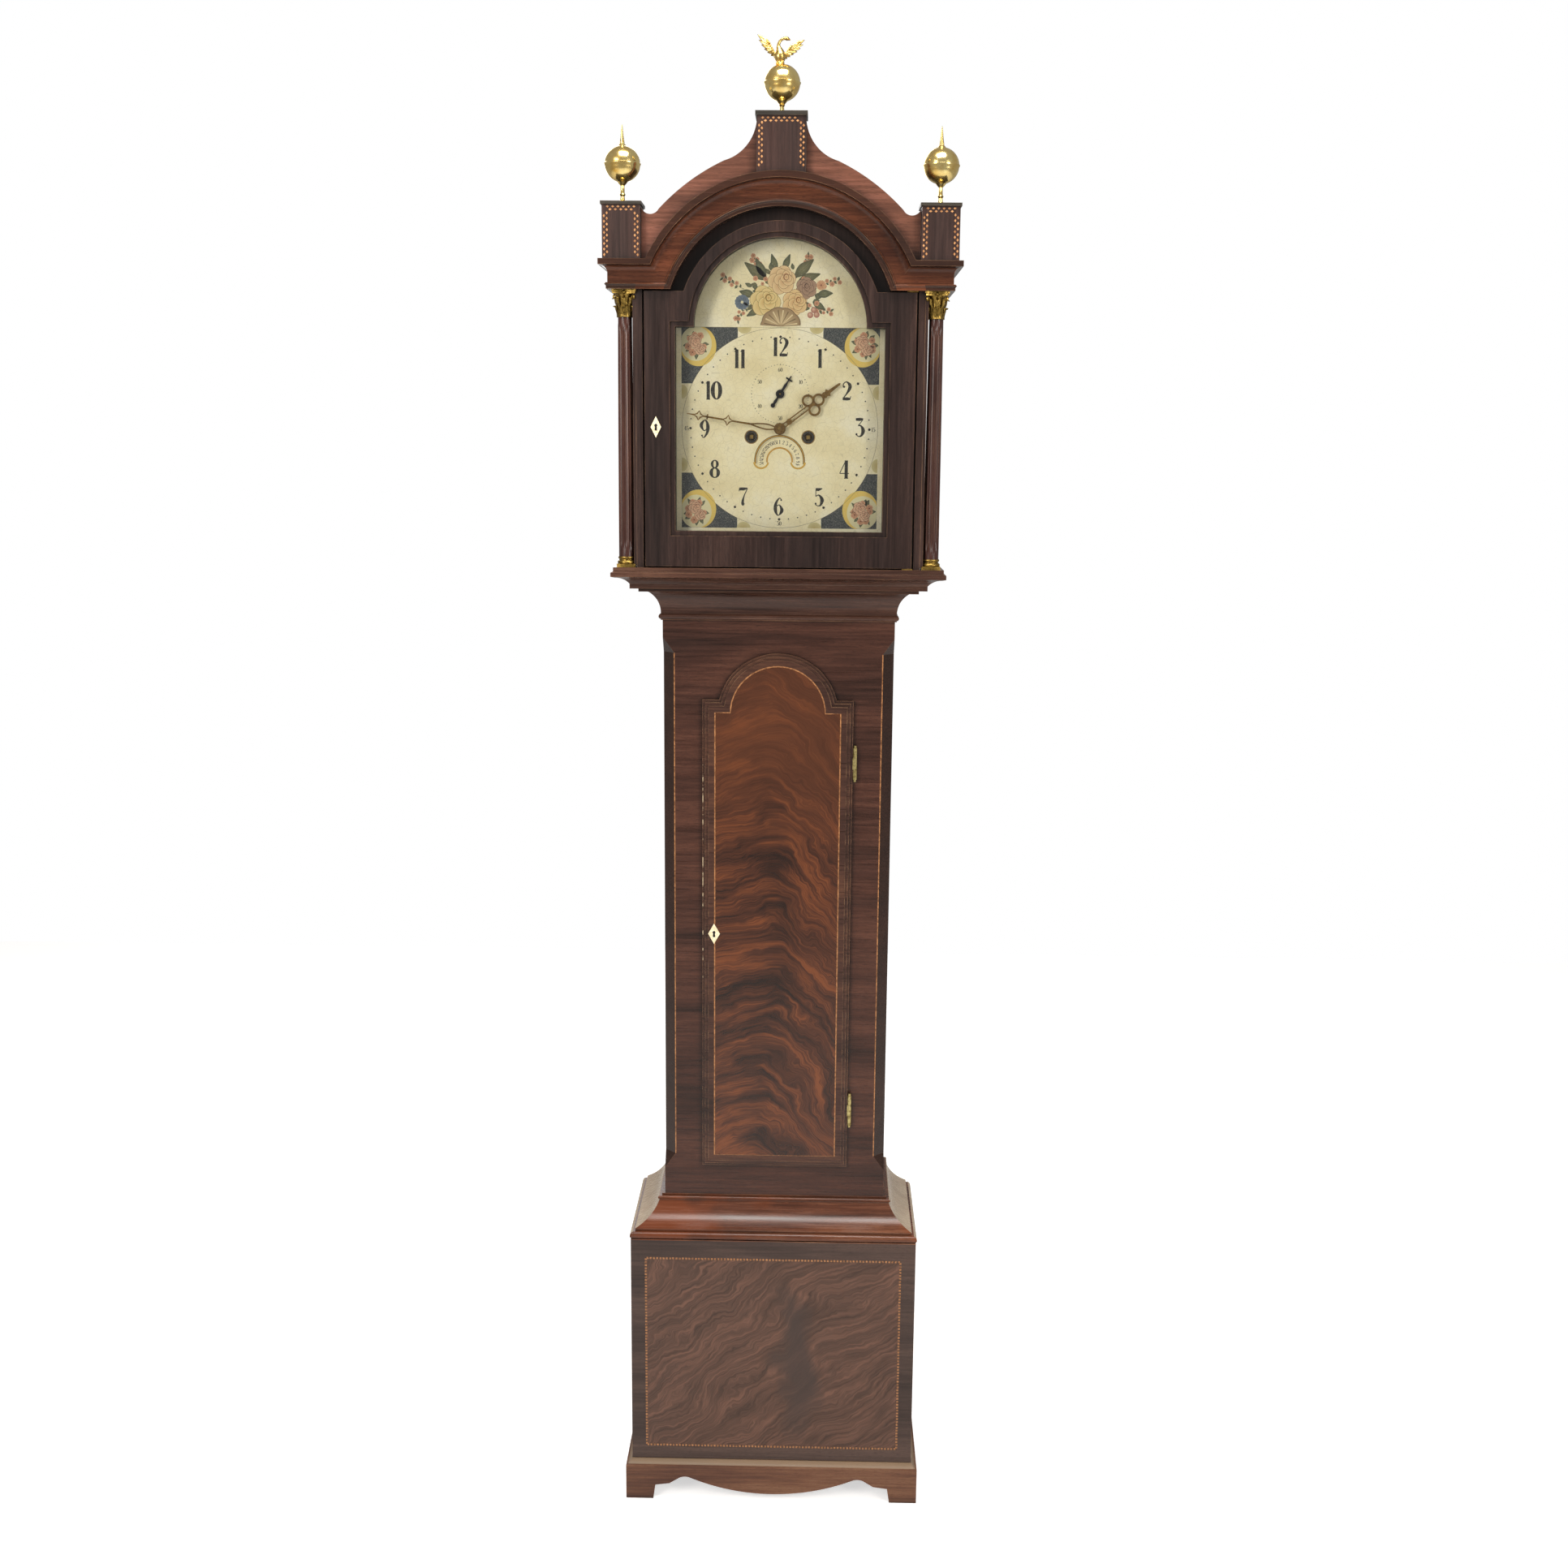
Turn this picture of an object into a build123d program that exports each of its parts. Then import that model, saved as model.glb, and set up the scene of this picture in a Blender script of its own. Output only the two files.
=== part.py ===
from build123d import *
import math
import os

# A longcase clock with an eight-day movement and a painted break-arch dial, in millimetres.
# X runs to the right, Y to the back and Z up, and the origin is on the floor under its middle.

os.makedirs("parts", exist_ok=True)

# Depths, from the back of the backboard to the front of the cornice
rear = 128.0
backboard_thick = 14.0
inside_rear = rear - backboard_thick
trunk_front = -50.0
trunk_frame_thick = 18.0
frame_back = trunk_front + trunk_frame_thick
hood_reference = -46.5
cornice_reference = -80.0
mask_front = -90.0
mask_back = -80.0

# Heights
base_bottom = 66.0
base_top = 440.0
moulding_top = 499.0
throat_bottom = 1407.0
throat_top = 1456.0
hood_floor = 1488.0
cornice_bottom = 1876.0
cornice_top = 1916.0
arch_centre = 1826.0
roof_low = 1908.0

# Half widths
trunk_half = 172.5
base_half = 223.0
hood_half = 204.0
ear_half = 193.0
cornice_half = 206.0
column_x = 220.0
column_y = -94.0

# Base and bracket feet
foot_board = 18.0
base_front_face = -96.0
base_front_thick = 18.0
side_thick = 15.0
foot_inner = 189.0
apron_end = 129.0
apron_low = 11.0
apron_high = 37.0

# Corner chamfers of the trunk
corner_cut = 17.0
corner_low = 566.0
corner_high = 1358.0
corner_run_out = 24.0

# Trunk door: a lipped leaf with a break-arch head
door_half = 113.0
door_low = 550.0
door_shoulder = 1289.0
door_radius = 90.0
door_centre = 1269.0
door_lip_front = -60.0
lip = 8.5
trunk_pin_x = 116.5
trunk_pin_y = -56.0
trunk_hinge_heights = (644.0, 1194.0)

# Hood door and glass
hood_door_half = 191.5
hood_door_low = 1490.0
hood_door_shoulder = 1874.0
hood_door_radius = 144.0
hood_door_front = -110.0
hood_door_back = -94.0
glass_half = 148.5
glass_low = 1541.0
glass_radius = 122.0
hood_pin_x = 187.5
hood_pin_y = -107.0

# Arched cornice and pediment
arch_inner = 162.0
arch_outer = 208.0
vault_radius = 132.0
side_plinth_half = 26.5
side_plinth_x = 221.5
side_plinth_top = 1988.4
side_cap_top = 1992.7
centre_plinth_half = 31.75
centre_plinth_top = 2106.0
centre_cap_top = 2112.0

# Dial and movement
dial_front = -76.0
dial_back = -74.0
dial_half = 152.5
dial_radius = 126.0
hand_z = 1686.0
winding_x = 41.0
winding_z = hand_z - 11.5
seconds_z = hand_z + 49.0
calendar_z = hand_z - 45.0
third_x = -16.37
third_z = hand_z + 25.85
reverse_z = hand_z - 32.4
anchor_z = 1766.0
hammer_x = 60.0
hammer_z = 1745.0
plate_half = 66.0
plate_low = 1624.0
plate_high = 1790.0
front_plate = (-38.0, -35.5)
back_plate = (30.0, 32.5)
seatboard = (1602.0, 1624.0)
train_module = 0.9
great_module = 0.819
motion_module = 0.8308
pivot_radius = 1.0
pivot_play = 0.06
small_facets = 10
wheel_facets = 22
turned_facets = 16

# Weights, lines and pendulum
weight_radius = 28.0
weight_low = 130.0
weight_high = 320.0
pulley_z = 375.0
line_y = 4.0
barrel_radius = 24.0
line_radius = 1.0
pendulum_y = 58.0
pendulum_length = 994.0
bob_radius = 55.0

# The time shown, as angles clockwise from twelve
hour_angle = 53.2
minute_angle = 278.8
seconds_angle = 32.3


# Helpers that draw into the open sketch or part

def keep(piece, name):
    """Label a finished piece and write it."""
    piece.part.label = name
    export_step(piece.part, f"parts/{name}.step")


def front_plane(y):
    """A sketch plane that faces the front at depth y; its x is X and its y is Z."""
    return Plane.XZ.offset(-y)


def block(x0, x1, y0, y1, z0, z1, mode=Mode.ADD):
    """Add or cut a plain board between two corners."""
    with Locations(((x0 + x1) / 2, (y0 + y1) / 2, (z0 + z1) / 2)):
        Box(abs(x1 - x0), abs(y1 - y0), abs(z1 - z0), mode=mode)


def facet_radius(radius, mode):
    """Corner radius of a small round: a bore is widened so that its flats clear what turns in it."""
    if mode == Mode.SUBTRACT:
        return radius / math.cos(math.pi / small_facets)
    return radius


def rod(x, z, y0, y1, radius, mode=Mode.ADD):
    """Add or bore a small rod that runs from front to back, round in twelve facets."""
    with BuildSketch(front_plane(max(y0, y1))) as section:
        with Locations((x, z)):
            RegularPolygon(facet_radius(radius, mode), small_facets)
    extrude(section.sketch, amount=abs(y1 - y0), mode=mode)


def post(x, y, z0, z1, radius, mode=Mode.ADD):
    """Add or bore a small upright post, round in twelve facets."""
    with BuildSketch(Plane.XY.offset(min(z0, z1))) as section:
        with Locations((x, y)):
            RegularPolygon(facet_radius(radius, mode), small_facets)
    extrude(section.sketch, amount=abs(z1 - z0), mode=mode)


def turned(x, y, steps, facets, mode=Mode.ADD, place=Location()):
    """Add or cut a turned piece through (radius, height) steps, round in flat facets."""
    rings = []
    for radius, height in steps:
        rings.append([(x + radius * math.cos(math.tau * i / facets),
                       y + radius * math.sin(math.tau * i / facets), height) for i in range(facets)])
    faces = [Face(Wire.make_polygon(rings[0])), Face(Wire.make_polygon(rings[-1]))]
    for low, high in zip(rings, rings[1:]):
        for i in range(facets):
            after = (i + 1) % facets
            faces.append(Face(Wire.make_polygon([low[i], low[after], high[after], high[i]])))
    add(place * Solid(Shell(faces)), mode=mode)


def break_arch(half, low, shoulder, radius, centre, mode=Mode.ADD):
    """Sketch a board with level shoulders and a round head."""
    step = math.sqrt(radius ** 2 - (shoulder - centre) ** 2)
    with BuildLine() as outline:
        Polyline((step, shoulder), (half, shoulder), (half, low),
                 (-half, low), (-half, shoulder), (-step, shoulder))
        ThreePointArc((-step, shoulder), (0, centre + radius), (step, shoulder))
    make_face(outline.edges(), mode=mode)


def draw_profile(steps, place):
    """Draw a moulding; a step is (projection, height, bulge) and place maps it to the sketch."""
    for (p0, z0, _), (p1, z1, bulge) in zip(steps, steps[1:]):
        if bulge == 0:
            Line(place(p0, z0), place(p1, z1))
        else:
            run = math.hypot(p1 - p0, z1 - z0)
            out = (p0 + p1) / 2 + bulge * (z1 - z0) / run
            up = (z0 + z1) / 2 - bulge * (p1 - p0) / run
            ThreePointArc(place(p0, z0), place(out, up), place(p1, z1))


def moulded_block(steps, half, front, back):
    """Make a block whose front and two ends carry one moulding, mitred at the corners."""
    low_out, low = steps[0][:2]
    high_out, high = steps[-1][:2]
    with BuildSketch(Plane.YZ) as front_section:
        with BuildLine():
            draw_profile(steps, lambda p, z: (front - p, z))
            Polyline((front - high_out, high), (back, high), (back, low), (front - low_out, low))
        make_face()
    extrude(front_section.sketch, amount=2 * half, both=True)
    with BuildSketch(Plane.XZ) as side_section:
        with BuildLine():
            draw_profile(steps, lambda p, z: (half + p, z))
            Line((half + high_out, high), (-half - high_out, high))
            draw_profile(steps, lambda p, z: (-half - p, z))
            Line((half + low_out, low), (-half - low_out, low))
        make_face()
    extrude(side_section.sketch, amount=2 * rear, both=True, mode=Mode.INTERSECT)


def toothed(x, z, y, thick, count, module, phase):
    """Add a toothed wheel from y towards the front; one tooth points along phase degrees."""
    tip = module * (count / 2 + 1.0)
    root = module * (count / 2 - 1.6)
    points = []
    for i in range(2 * count):
        angle = math.radians(phase + 180.0 * i / count)
        radius = tip if i % 2 == 0 else root
        points.append((x + radius * math.cos(angle), z + radius * math.sin(angle)))
    with BuildSketch(front_plane(y)) as outline:
        with BuildLine():
            Polyline(*points, close=True)
        make_face()
    extrude(outline.sketch, amount=thick)


def crossings(x, z, y, thick, inner, outer):
    """Cut the four openings that leave a wheel its rim and spokes."""
    for quarter in range(4):
        with BuildSketch(front_plane(y + 1)) as opening:
            with BuildLine():
                points = []
                for turn, radius in ((12, inner), (12, outer), (32, outer), (58, outer), (78, outer), (78, inner)):
                    angle = math.radians(turn + 90 * quarter)
                    points.append((x + radius * math.cos(angle), z + radius * math.sin(angle)))
                Polyline(*points, close=True)
            make_face()
        extrude(opening.sketch, amount=thick + 2, mode=Mode.SUBTRACT)


def bearing(x0, z0, x1, z1):
    """The angle, from +X towards +Z, of the line from one arbor to another."""
    return math.degrees(math.atan2(z1 - z0, x1 - x0))


def hand_plane(y, angle, z):
    """A sketch plane at depth y whose y runs outwards along a hand."""
    turn = math.radians(angle)
    return Plane(origin=(0, y, z), x_dir=(math.cos(turn), 0, -math.sin(turn)), z_dir=(0, -1, 0))


# Bracket feet: a mitred frame of three shaped boards, open at the back
foot_profile = [(9.5, 0, 0), (9.5, 57.5, 0), (1.0, 65.0, -1.5), (1.0, base_bottom, 0)]
with BuildPart() as bracket_feet:
    moulded_block(foot_profile, base_half, base_front_face, inside_rear)
    block(-base_half - 9.5 + foot_board, base_half + 9.5 - foot_board,
          base_front_face - 9.5 + foot_board, rear, -1, base_bottom + 1, mode=Mode.SUBTRACT)
    with BuildSketch(front_plane(base_front_face + foot_board)):
        with BuildLine():
            for side in (-1, 1):
                Polyline((side * foot_inner, -1), (side * foot_inner, 1), (side * 185.5, 24),
                         (side * 163, 27), (side * 147, 37))
                ThreePointArc((side * 147, 37), (side * 138, 39), (side * apron_end, apron_high))
            ThreePointArc((-apron_end, apron_high), (0, apron_low), (apron_end, apron_high))
            Line((-foot_inner, -1), (foot_inner, -1))
        make_face()
    extrude(amount=foot_board + 20, mode=Mode.SUBTRACT)
    with BuildSketch(Plane.YZ):
        with BuildLine():
            Polyline((-60, 24), (-58, -1), (70, -1), (72, 24))
            ThreePointArc((-60, 24), (6, 42), (72, 24))
        make_face()
    extrude(amount=2 * base_half, both=True, mode=Mode.SUBTRACT)
keep(bracket_feet, "bracket_feet")

# Base: a front panel, and a carcass of two sides and a floor behind it
with BuildPart() as base_front:
    block(-base_half, base_half, base_front_face, base_front_face + base_front_thick, base_bottom, base_top)
keep(base_front, "base_front")

with BuildPart() as base_carcass:
    for side in (-1, 1):
        block(side * (base_half - side_thick), side * base_half,
              base_front_face + base_front_thick, inside_rear, base_bottom, base_top)
    block(-base_half + side_thick, base_half - side_thick,
          base_front_face + base_front_thick, inside_rear, 72, 84)
keep(base_carcass, "base_carcass")

# Base moulding: torus, fillets and a long cove that carries the eye up to the trunk
base_steps = [(50.5, base_top, 0), (50.5, 441.5, 0), (47.5, 441.5, 0), (47.5, 452.5, 4.5), (44, 452.5, 0),
              (44, 456, 0), (38, 458.5, 0), (9, 489.5, -4.5), (9, 491, 0), (9, 496, 2), (5, 496, 0),
              (5, moulding_top, 0)]
with BuildPart() as base_moulding:
    moulded_block(base_steps, trunk_half, trunk_front + 4.5, inside_rear)
    block(-trunk_half, trunk_half, trunk_front, rear, base_top - 1, moulding_top + 1, mode=Mode.SUBTRACT)
keep(base_moulding, "base_moulding")

# Trunk front: a frame with an arched doorway and chamfered corners that run out in stops
with BuildPart() as trunk_frame:
    block(-trunk_half, trunk_half, trunk_front, frame_back, base_top, throat_top)
    with BuildSketch(front_plane(frame_back + 1)):
        break_arch(door_half - lip, door_low + lip, door_shoulder - lip, door_radius - lip, door_centre)
    extrude(amount=trunk_frame_thick + 2, mode=Mode.SUBTRACT)
    for side in (-1, 1):
        corner = trunk_half - corner_cut
        wide = [(side * (corner - 1), trunk_front - 1), (side * (trunk_half + 1), trunk_front - 1),
                (side * (trunk_half + 1), trunk_front + corner_cut + 1)]
        fine = [(side * (trunk_half - 0.6), trunk_front - 1), (side * (trunk_half + 1), trunk_front - 1),
                (side * (trunk_half + 1), trunk_front + 0.6)]
        with BuildSketch(Plane.XY.offset(corner_low)):
            with BuildLine():
                Polyline(*wide, close=True)
            make_face()
        extrude(amount=corner_high - corner_low, mode=Mode.SUBTRACT)
        for edge, run_out in ((corner_low, -corner_run_out), (corner_high, corner_run_out)):
            with BuildSketch(Plane.XY.offset(edge)):
                with BuildLine():
                    Polyline(*wide, close=True)
                make_face()
            with BuildSketch(Plane.XY.offset(edge + run_out)):
                with BuildLine():
                    Polyline(*fine, close=True)
                make_face()
            loft(ruled=True, mode=Mode.SUBTRACT)
keep(trunk_frame, "trunk_frame")

# Trunk sides: they run on up inside the hood as cheeks, and carry the seatboard
with BuildPart() as trunk_sides:
    for side in (-1, 1):
        block(side * (trunk_half - side_thick), side * trunk_half, frame_back, inside_rear,
              base_top, seatboard[0])
keep(trunk_sides, "trunk_sides")

# Throat moulding: the bead and cove on which the hood sits
throat_steps = [(2.5, throat_bottom, 0), (2.5, 1408.5, 0), (2.5, 1416.5, 3.2), (2.5, 1418, 0),
                (21, 1451, -5), (32.5, 1451, 0), (32.5, throat_top, 0)]
with BuildPart() as throat_moulding:
    moulded_block(throat_steps, trunk_half, trunk_front, inside_rear)
    block(-trunk_half, trunk_half, trunk_front, rear, throat_bottom - 1, throat_top + 1, mode=Mode.SUBTRACT)
keep(throat_moulding, "throat_moulding")

# Backboard: one pine board, as wide as the base and then the trunk, with ears that close the hood
with BuildPart() as backboard:
    with BuildSketch(front_plane(rear)):
        with BuildLine():
            for side in (-1, 1):
                Polyline((side * 221, base_bottom), (side * 221, base_top), (side * trunk_half, base_top),
                         (side * trunk_half, hood_floor + 1), (side * ear_half, hood_floor + 1),
                         (side * ear_half, 1905))
            Line((-221, base_bottom), (221, base_bottom))
            Line((-ear_half, 1905), (ear_half, 1905))
        make_face()
        with Locations((0, arch_centre)):
            Circle(vault_radius - 1.5)
    extrude(amount=backboard_thick)
keep(backboard, "backboard")

# Seatboard: it spans the cheeks, carries the movement, and is bored for the lines
with BuildPart() as seatboard_board:
    block(-trunk_half, trunk_half, -38, 46, *seatboard)
    for x in (-winding_x, winding_x):
        block(x - barrel_radius - 9, x - barrel_radius + 9, -26, 22, seatboard[0] - 1, seatboard[1] + 1,
              mode=Mode.SUBTRACT)
        post(x + barrel_radius, line_y, seatboard[0] - 1, seatboard[1] + 1, 2.5, Mode.SUBTRACT)
keep(seatboard_board, "seatboard")

# Hood base: a mitred moulding, open behind so that it slides over the cheeks
hood_base_steps = [(44.5, throat_top, 0), (44.5, 1463, 0), (64, 1473, -2.5), (69.5, 1474.5, 0),
                   (69.5, 1480.5, 0), (66, 1482, 0), (66, hood_floor, 0)]
with BuildPart() as hood_base:
    moulded_block(hood_base_steps, trunk_half, hood_reference, rear - 1)
    block(-trunk_half - 2.5, trunk_half + 2.5, trunk_front - 3, rear, throat_top - 1, hood_floor + 1,
          mode=Mode.SUBTRACT)
keep(hood_base, "hood_base")

# Hood carcass: two sides with posts beside the door, and a roof with a vault over the arched dial
with BuildPart() as hood_carcass:
    for side in (-1, 1):
        block(side * (hood_half - 10), side * hood_half, mask_back, rear - 1, hood_floor, roof_low)
        block(side * 194.5, side * hood_half, -106, mask_front, hood_floor, cornice_bottom)
        block(side * 194.5, side * hood_half, mask_front, mask_back, hood_floor, cornice_bottom)
    with BuildSketch(front_plane(rear - 1)):
        with Locations((0, (roof_low + cornice_top) / 2)):
            Rectangle(2 * hood_half, cornice_top - roof_low)
        with Locations((0, arch_centre)):
            Circle(vault_radius + 8)
        with Locations((0, roof_low - 200)):
            Rectangle(2 * hood_half, 400, mode=Mode.SUBTRACT)
        with Locations((0, arch_centre)):
            Circle(vault_radius, mode=Mode.SUBTRACT)
    extrude(amount=rear - 1 - mask_back)
keep(hood_carcass, "hood_carcass")

# Mask: the board behind the door that frames the dial
with BuildPart() as hood_mask:
    with BuildSketch(front_plane(mask_back)):
        break_arch(194.5, hood_floor, cornice_bottom, 200, arch_centre)
        break_arch(glass_half, 1539, arch_centre, glass_radius + 0.5, arch_centre, Mode.SUBTRACT)
    extrude(amount=mask_back - mask_front)
keep(hood_mask, "hood_mask")

# Cornice: level runs on three sides, mitred into an arch of the same moulding
cornice_steps = [(38, cornice_bottom, 0), (38, 1880, 0), (40, 1882.2, 0), (38, 1884.5, 0), (36, 1884.5, 0),
                 (36, 1897, 0), (46, 1908, -3), (48, 1908, 0), (48, cornice_top, 0)]
mitre_low = math.sqrt(arch_inner ** 2 - (cornice_bottom - arch_centre) ** 2)
mitre_high = math.sqrt(arch_outer ** 2 - (cornice_top - arch_centre) ** 2)
mitre_slope = (mitre_high - mitre_low) / (cornice_top - cornice_bottom)
with BuildPart() as arch_ring:
    with BuildSketch(Plane.YZ):
        with BuildLine():
            stretch = (arch_outer - arch_inner) / (cornice_top - cornice_bottom)
            draw_profile(cornice_steps,
                         lambda p, z: (cornice_reference - p, (z - cornice_bottom) * stretch + arch_centre + arch_inner))
            Polyline((cornice_reference - 48, arch_centre + arch_outer), (mask_front, arch_centre + arch_outer),
                     (mask_front, arch_centre + arch_inner), (cornice_reference - 38, arch_centre + arch_inner))
        make_face()
    revolve(axis=Axis((0, 0, arch_centre), (0, 1, 0)), revolution_arc=360)
    with BuildSketch(front_plane(0)):
        with BuildLine():
            far = 2080 - cornice_bottom
            Polyline((mitre_low, cornice_bottom), (mitre_low + far * mitre_slope, 2080),
                     (-mitre_low - far * mitre_slope, 2080), (-mitre_low, cornice_bottom), close=True)
        make_face()
    extrude(amount=2 * rear, mode=Mode.INTERSECT)

with BuildPart() as cornice:
    moulded_block(cornice_steps, cornice_half, cornice_reference, rear - 1)
    block(-hood_half, hood_half, mask_front, rear, cornice_bottom - 1, cornice_top + 1, mode=Mode.SUBTRACT)
    with BuildSketch(front_plane(0)):
        with BuildLine():
            over = 4
            Polyline((mitre_low - over * mitre_slope, cornice_bottom - over),
                     (mitre_high + over * mitre_slope, cornice_top + over),
                     (-mitre_high - over * mitre_slope, cornice_top + over),
                     (-mitre_low + over * mitre_slope, cornice_bottom - over), close=True)
        make_face()
    extrude(amount=2 * rear, mode=Mode.SUBTRACT)
    add(arch_ring.part)
keep(cornice, "cornice")

# Pediment: two shaped wings that sweep down from the middle block to the side blocks
with BuildPart() as pediment_wings:
    for side in (-1, 1):
        with BuildSketch(front_plane(-100)):
            with BuildLine():
                ThreePointArc((side * 34, 2104), (side * 46, 2071), (side * 79, 2048.6))
                ThreePointArc((side * 79, 2048.6), (side * 127, 2021), (side * 170, 1984))
                ThreePointArc((side * 170, 1984), (side * 182, 1977), (side * 194.5, 1986))
                Polyline((side * 194.5, 1986), (side * 194.5, cornice_top), (side * 34, cornice_top),
                         (side * 34, 2104))
            make_face()
        extrude(amount=12)
    with Locations(Location((0, -106, arch_centre), (90, 0, 0))):
        Cylinder(arch_outer, 40, mode=Mode.SUBTRACT)
keep(pediment_wings, "pediment_wings")

# Plinth blocks that carry the finials, and their caps
with BuildPart() as plinth_blocks:
    for side in (-1, 1):
        block(side * (side_plinth_x - side_plinth_half), side * (side_plinth_x + side_plinth_half),
              -124, -71, cornice_top, side_plinth_top)
    block(-centre_plinth_half - 2, centre_plinth_half + 2, -124, -80, 2030, centre_plinth_top)
    with Locations(Location((0, -100, arch_centre), (90, 0, 0))):
        Cylinder(arch_outer, 80, mode=Mode.SUBTRACT)
keep(plinth_blocks, "plinth_blocks")

with BuildPart() as plinth_caps:
    for side in (-1, 1):
        block(side * (side_plinth_x - 28.5), side * (side_plinth_x + 28.5), -126, -69,
              side_plinth_top, side_cap_top)
    block(-36, 36, -126, -78, centre_plinth_top, centre_cap_top)
keep(plinth_caps, "plinth_caps")

# Columns: fluted and slightly tapered, standing free of the hood sides
column_low = 1503.0
column_high = 1838.5
flutes = 12
with BuildPart() as columns:
    for side in (-1, 1):
        for height, radius in ((column_low, 11.5), (column_high, 10.6)):
            with BuildSketch(Plane.XY.offset(height)):
                with Locations((side * column_x, column_y)):
                    Circle(radius)
                    with PolarLocations(radius, flutes):
                        RegularPolygon(1.9, 6, mode=Mode.SUBTRACT)
        loft(ruled=True)
keep(columns, "columns")

with BuildPart() as column_bases:
    for side in (-1, 1):
        block(side * (column_x - 13.5), side * (column_x + 13.5), column_y - 13.5, column_y + 13.5,
              hood_floor, hood_floor + 5)
        turned(side * column_x, column_y,
               ((12, 1493), (13.5, 1494.5), (13.5, 1497), (11, 1500), (12.2, column_low)), turned_facets)
keep(column_bases, "column_bases")

# Capitals: a bell with two tiers of leaves under a hollow-sided abacus
with BuildPart() as capitals:
    for side in (-1, 1):
        turned(side * column_x, column_y, ((11, column_high), (9, 1841), (9, 1860), (13, 1871)), 8)
        with BuildSketch(Plane.XY.offset(1870)):
            with Locations((side * column_x, column_y)):
                Rectangle(32, 32)
                with PolarLocations(60, 4):
                    RegularPolygon(46, 40, mode=Mode.SUBTRACT)
        extrude(amount=cornice_bottom - 1870)
        for foot, low, belly, tip, top, first, step in ((8, 1842, 12.5, 14.5, 1856, 0, 45),
                                                        (8, 1852, 14, 20, 1869, 45, 90)):
            for turn in range(360 // step):
                angle = math.radians(first + step * turn)
                with BuildSketch(Plane(origin=(side * column_x, column_y, 0),
                                       x_dir=(math.cos(angle), math.sin(angle), 0),
                                       z_dir=(math.sin(angle), -math.cos(angle), 0))):
                    with BuildLine():
                        Polyline((foot, low), (belly, low + 8), (tip, top), (foot, low + 12), close=True)
                    make_face()
                extrude(amount=2.6, both=True)
keep(capitals, "capitals")


ball_radius = 25.3


def finial_steps(foot, stem, low, top):
    """Steps of a turned finial: foot, stem, ball and, where top is higher, a spire."""
    steps = [(7.5, foot), (7.5, foot + 2), (2.8, stem), (2.8, low - 8), (5.5, low - 3)]
    for turn in range(-66, 67, 22):
        angle = math.radians(turn)
        steps.append((ball_radius * math.cos(angle), low + 21 + 24 * math.sin(angle)))
    if top > low + 50:
        steps += [(3.6, low + 47.5), (1, top)]
    return steps


# Finials: a turned ball on each block, the outer two with spires and the middle one with an eagle
finial_y = -97.5
eagle_x = -3.0
with BuildPart() as finials:
    for side in (-1, 1):
        turned(side * side_plinth_x, finial_y, finial_steps(side_cap_top, 2006, 2024, 2097.5), turned_facets)
    turned(0, finial_y, finial_steps(centre_cap_top, 2121, 2131.5, 2174), turned_facets)
    turned(eagle_x, finial_y,
           ((4, 2170), (4, 2177), (8, 2185), (7, 2193), (3.4, 2203), (4.6, 2207), (2.4, 2211.5)), 12)
    with BuildSketch(front_plane(finial_y + 1.6)):
        with BuildLine():
            Polyline((eagle_x, 2210.5), (eagle_x + 8, 2209), (eagle_x + 11.5, 2204.5), (eagle_x + 3, 2205),
                     (eagle_x, 2204), close=True)
        make_face()
    extrude(amount=3.2)
    for side, tip_x, tip_z in ((-1, -36.0, 2218), (1, 32.0, 2210.5)):
        with BuildSketch(front_plane(finial_y + 1.2)):
            with BuildLine():
                root_x = eagle_x + side * 2
                Polyline((root_x, 2181), (root_x, 2198), (eagle_x + side * 12, 2205.3), (tip_x, tip_z),
                         (tip_x - side * 1, tip_z - 9), (tip_x - side * 5, tip_z - 17),
                         (tip_x - side * 11, tip_z - 24), (eagle_x + side * 13, 2185), close=True)
            make_face()
        extrude(amount=2.4)
keep(finials, "finials")

# Door pivots: a plate and pin above and below the hood door
with BuildPart() as hood_pivots:
    block(178, 193, -112, -100, hood_floor, hood_floor + 1.5)
    post(hood_pin_x, hood_pin_y, hood_floor + 1, 1498, 1.5)
    block(178, 193, -112, -100, cornice_bottom - 1.5, cornice_bottom)
    post(hood_pin_x, hood_pin_y, 1866, cornice_bottom - 1, 1.5)
keep(hood_pivots, "hood_pivots")

# Hood door: a flat frame with an arched head, a bevelled opening and a rebate for its glass
with BuildPart() as hood_door_frame:
    with BuildSketch(front_plane(hood_door_back)):
        break_arch(hood_door_half, hood_door_low, hood_door_shoulder, hood_door_radius, arch_centre)
        break_arch(glass_half, glass_low, arch_centre, glass_radius, arch_centre, Mode.SUBTRACT)
    extrude(amount=hood_door_back - hood_door_front)
    with BuildSketch(front_plane(hood_door_back)):
        break_arch(glass_half + 6, glass_low - 6, arch_centre + 6, glass_radius + 6, arch_centre)
    extrude(amount=6, mode=Mode.SUBTRACT)
    with BuildSketch(front_plane(hood_door_front + 3)):
        break_arch(glass_half + 7, glass_low - 7, arch_centre + 7, glass_radius + 7, arch_centre)
    extrude(amount=4, mode=Mode.SUBTRACT)
    for low, high in ((hood_door_low - 1, 1499), (1865, hood_door_shoulder + 1)):
        post(hood_pin_x, hood_pin_y, low, high, 1.56, Mode.SUBTRACT)
    block(-188, -162, -102, hood_door_back + 1, 1668, 1708, mode=Mode.SUBTRACT)
    with Locations(Location((-175.5, -106, 1687), (90, 0, 0))):
        Cylinder(1.6, 20, mode=Mode.SUBTRACT)
keep(hood_door_frame, "hood_door_frame")

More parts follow.
